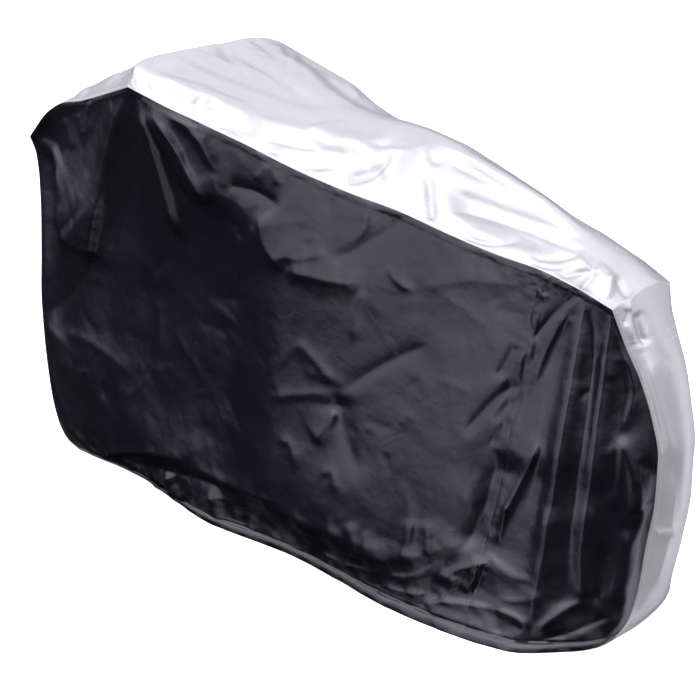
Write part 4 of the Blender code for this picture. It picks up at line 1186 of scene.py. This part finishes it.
class COVER_OT_right_side(bpy.types.Operator):
    """Make the two black sheets of the right side"""

    bl_idname = "cover.right_side"
    bl_label = "Right side"

    def execute(self, context):
        make_side(context, RIGHT, COARSE_COLUMNS, COARSE_ROWS)
        return {"FINISHED"}


class COVER_OT_strips(bpy.types.Operator):
    """Make the silver strip, and the strip below its cross seam"""

    bl_idname = "cover.strips"
    bl_label = "Silver strips"

    def execute(self, context):
        sizes = context.scene.cover_sizes
        across = strip_places(FINE_STRIP_COLUMNS)
        fractions = row_fractions(FINE_ROWS)
        cross_seam = nearest(fractions, path_fractions(REAR_STATIONS)[1])
        along_top = top_stations(column_places(FINE_COLUMNS))
        top = strip_cloth(sizes, along_top, across, STRIP_FOLDS, NEAR_STRIP_CREASES)
        down_rear = end_stations(REAR_STATIONS, fractions)
        rear = strip_cloth(sizes, down_rear, across, creases=NEAR_STRIP_CREASES)
        rear[0] = top[-1]
        rear[-1, :, 2] = 0.0
        top = np.concatenate([top, rear[1 : cross_seam + 1]])
        rear = rear[cross_seam:]
        for node, points, cross_edge in (("top_strip", top, "last"), ("rear_strip", rear, "first")):
            insets = {edge: STITCH_INSET for edge in ("top", "hem", cross_edge)}
            sew_piece(context, node, "silver_cloth", points, RIGHT, insets)
        return {"FINISHED"}


class COVER_OT_gusset(bpy.types.Operator):
    """Make the black gusset of the front end"""

    bl_idname = "cover.gusset"
    bl_label = "Front gusset"

    def execute(self, context):
        sizes = context.scene.cover_sizes
        down_front = end_stations(FRONT_STATIONS, row_fractions(COARSE_ROWS))
        points = strip_cloth(sizes, down_front, strip_places(COARSE_STRIP_COLUMNS))
        points[-1, :, 2] = 0.0
        insets = {"top": STITCH_INSET, "hem": STITCH_INSET, "first": STITCH_INSET, "last": sizes.casing}
        sew_piece(context, "front_gusset", "black_cloth", points, LEFT, insets)
        return {"FINISHED"}


def look_along(holder, place, back):
    """Puts a light or camera at a place, with back as the direction behind it."""
    holder.location = place
    holder.rotation_euler = Vector(back).to_track_quat("Z", "Y").to_euler()


def add_softbox(place, aim, size, power):
    light = bpy.data.lights.new("front_softbox", "AREA")
    light.shape = "RECTANGLE"
    light.size, light.size_y = size
    light.energy = power
    holder = add_object("front_softbox", light)
    look_along(holder, place, Vector(place) - Vector(aim))
    holder.visible_glossy = False


def add_world():
    """White behind the cover; around it a bright tent that ends above the horizon, with dim walls below."""
    world = bpy.data.worlds.new("studio_room")
    bpy.context.scene.world = world
    world.use_nodes = True
    tree = world.node_tree
    split = add_node(tree, "SeparateXYZ", {"Vector": add_node(tree, "TexCoord").outputs["Generated"]})
    east, north, up = [split.outputs[name] for name in "XYZ"]

    def add_levels(operation, *levels):
        """Each level rises with one part of the direction, from a first value of it to a second."""
        return add_math(tree, operation, *[add_level(tree, *level) for level in levels])

    end_flags = (east, -0.15, 0.7, 0.45), (east, -0.6, -1.0, 0.20), (east, 0.45, 0.85, -0.24)
    flags = add_levels("ADD", *end_flags, (north, 0.0, 0.6, 0.45))
    tent = add_level(tree, add_math(tree, "SUBTRACT", up, flags), -0.40, 0.12, TENT_LIGHT)
    walls = add_levels("MULTIPLY", (up, -0.80, -0.45, WALL_LIGHT), (north, 0.5, -0.1))
    upright = add_levels("MULTIPLY", (east, -0.16, 0.02, UPRIGHT_LIGHT), (east, 0.36, 0.16), (up, -0.90, -0.60))
    far_panel = add_levels("MULTIPLY", (east, 0.20, 0.50, FAR_LIGHT), (north, 0.35, 0.60))
    overhead = add_levels("MULTIPLY", (up, 0.35, 0.70, OVERHEAD_LIGHT), (north, 0.50, 0.10))
    total = add_math(tree, "ADD", tent, walls, add_math(tree, "ADD", upright, far_panel, overhead))
    path = add_node(tree, "LightPath").outputs
    share = add_math(tree, "MULTIPLY", path["Is Diffuse Ray"], SOFT_SHARE - 1.0)
    total = add_math(tree, "MULTIPLY", total, add_math(tree, "ADD", share, 1.0))
    tinted = add_node(tree, "VectorMath", {0: TENT_TINT, "Scale": total}, operation="SCALE").outputs["Vector"]
    seen = mix_colours(tree, path["Is Camera Ray"], tinted, (1.0, 1.0, 1.0, 1.0))
    feed(tree, tree.nodes["Background"], {"Color": seen})


def add_camera():
    back = camera_axes()[0]
    camera = bpy.data.cameras.new("photo_camera")
    camera.sensor_width = SENSOR_WIDTH_MM
    camera.lens = SENSOR_WIDTH_MM * PHOTO_FOCAL_PIXELS / PHOTO_SIZE
    holder = add_object("photo_camera", camera)
    look_along(holder, Vector(VIEW_TARGET) + VIEW_DISTANCE * Vector(back), back)
    bpy.context.scene.camera = holder


def add_floor(colour):
    mesh = bpy.data.meshes.new("studio_floor")
    corners = [(x * FLOOR_REACH, y * FLOOR_REACH, 0) for x, y in ((-1, -1), (1, -1), (1, 1), (-1, 1))]
    mesh.from_pydata(corners, [], [(0, 1, 2, 3)])
    floor = add_object("studio_floor", mesh)
    material, tree, shader = new_material("studio_floor")
    inputs = {
        "Base Color": (*colour, 1.0),
        "Roughness": 1.0,
        "Specular IOR Level": 0.0,
        "Emission Color": (1.0, 1.0, 1.0, 1.0),
        "Emission Strength": FLOOR_GLOW,
    }
    feed(tree, shader, inputs)
    mesh.materials.append(material)
    floor.visible_glossy = False


class COVER_OT_stage(bpy.types.Operator):
    """Make the floor, the lights and the camera"""

    bl_idname = "cover.stage"
    bl_label = "Studio"

    def execute(self, context):
        add_floor(context.scene.cover_colours.floor)
        add_world()
        add_softbox(place=(-1.6, -3.4, 2.6), aim=(0.0, -0.1, 0.6), size=(1.8, 1.8), power=110.0)
        add_camera()
        context.scene.view_settings.view_transform = "Standard"
        return {"FINISHED"}


OPERATORS = (COVER_OT_left_side, COVER_OT_right_side, COVER_OT_strips, COVER_OT_gusset, COVER_OT_stage)


class COVER_PT_panel(bpy.types.Panel):
    """Lists the cover's sizes, colours and pieces"""

    bl_idname = "COVER_PT_panel"
    bl_label = "Bicycle cover"
    bl_space_type = "VIEW_3D"
    bl_region_type = "UI"
    bl_category = "Cover"

    def draw(self, context):
        layout = self.layout
        for group in (context.scene.cover_sizes, context.scene.cover_colours):
            for name in group.__annotations__:
                layout.prop(group, name)
        for operator in OPERATORS:
            layout.operator(operator.bl_idname)


CLASSES = (CoverSizes, CoverColours, *OPERATORS, COVER_PT_panel)


def register():
    for kind in CLASSES:
        bpy.utils.register_class(kind)
    bpy.types.Scene.cover_sizes = bpy.props.PointerProperty(type=CoverSizes)
    bpy.types.Scene.cover_colours = bpy.props.PointerProperty(type=CoverColours)


def unregister():
    del bpy.types.Scene.cover_colours
    del bpy.types.Scene.cover_sizes
    for kind in reversed(CLASSES):
        bpy.utils.unregister_class(kind)


def main():
    register()
    bpy.ops.cover.stage()
    bpy.ops.cover.left_side()
    bpy.ops.cover.right_side()
    bpy.ops.cover.strips()
    bpy.ops.cover.gusset()


if __name__ == "__main__":
    main()
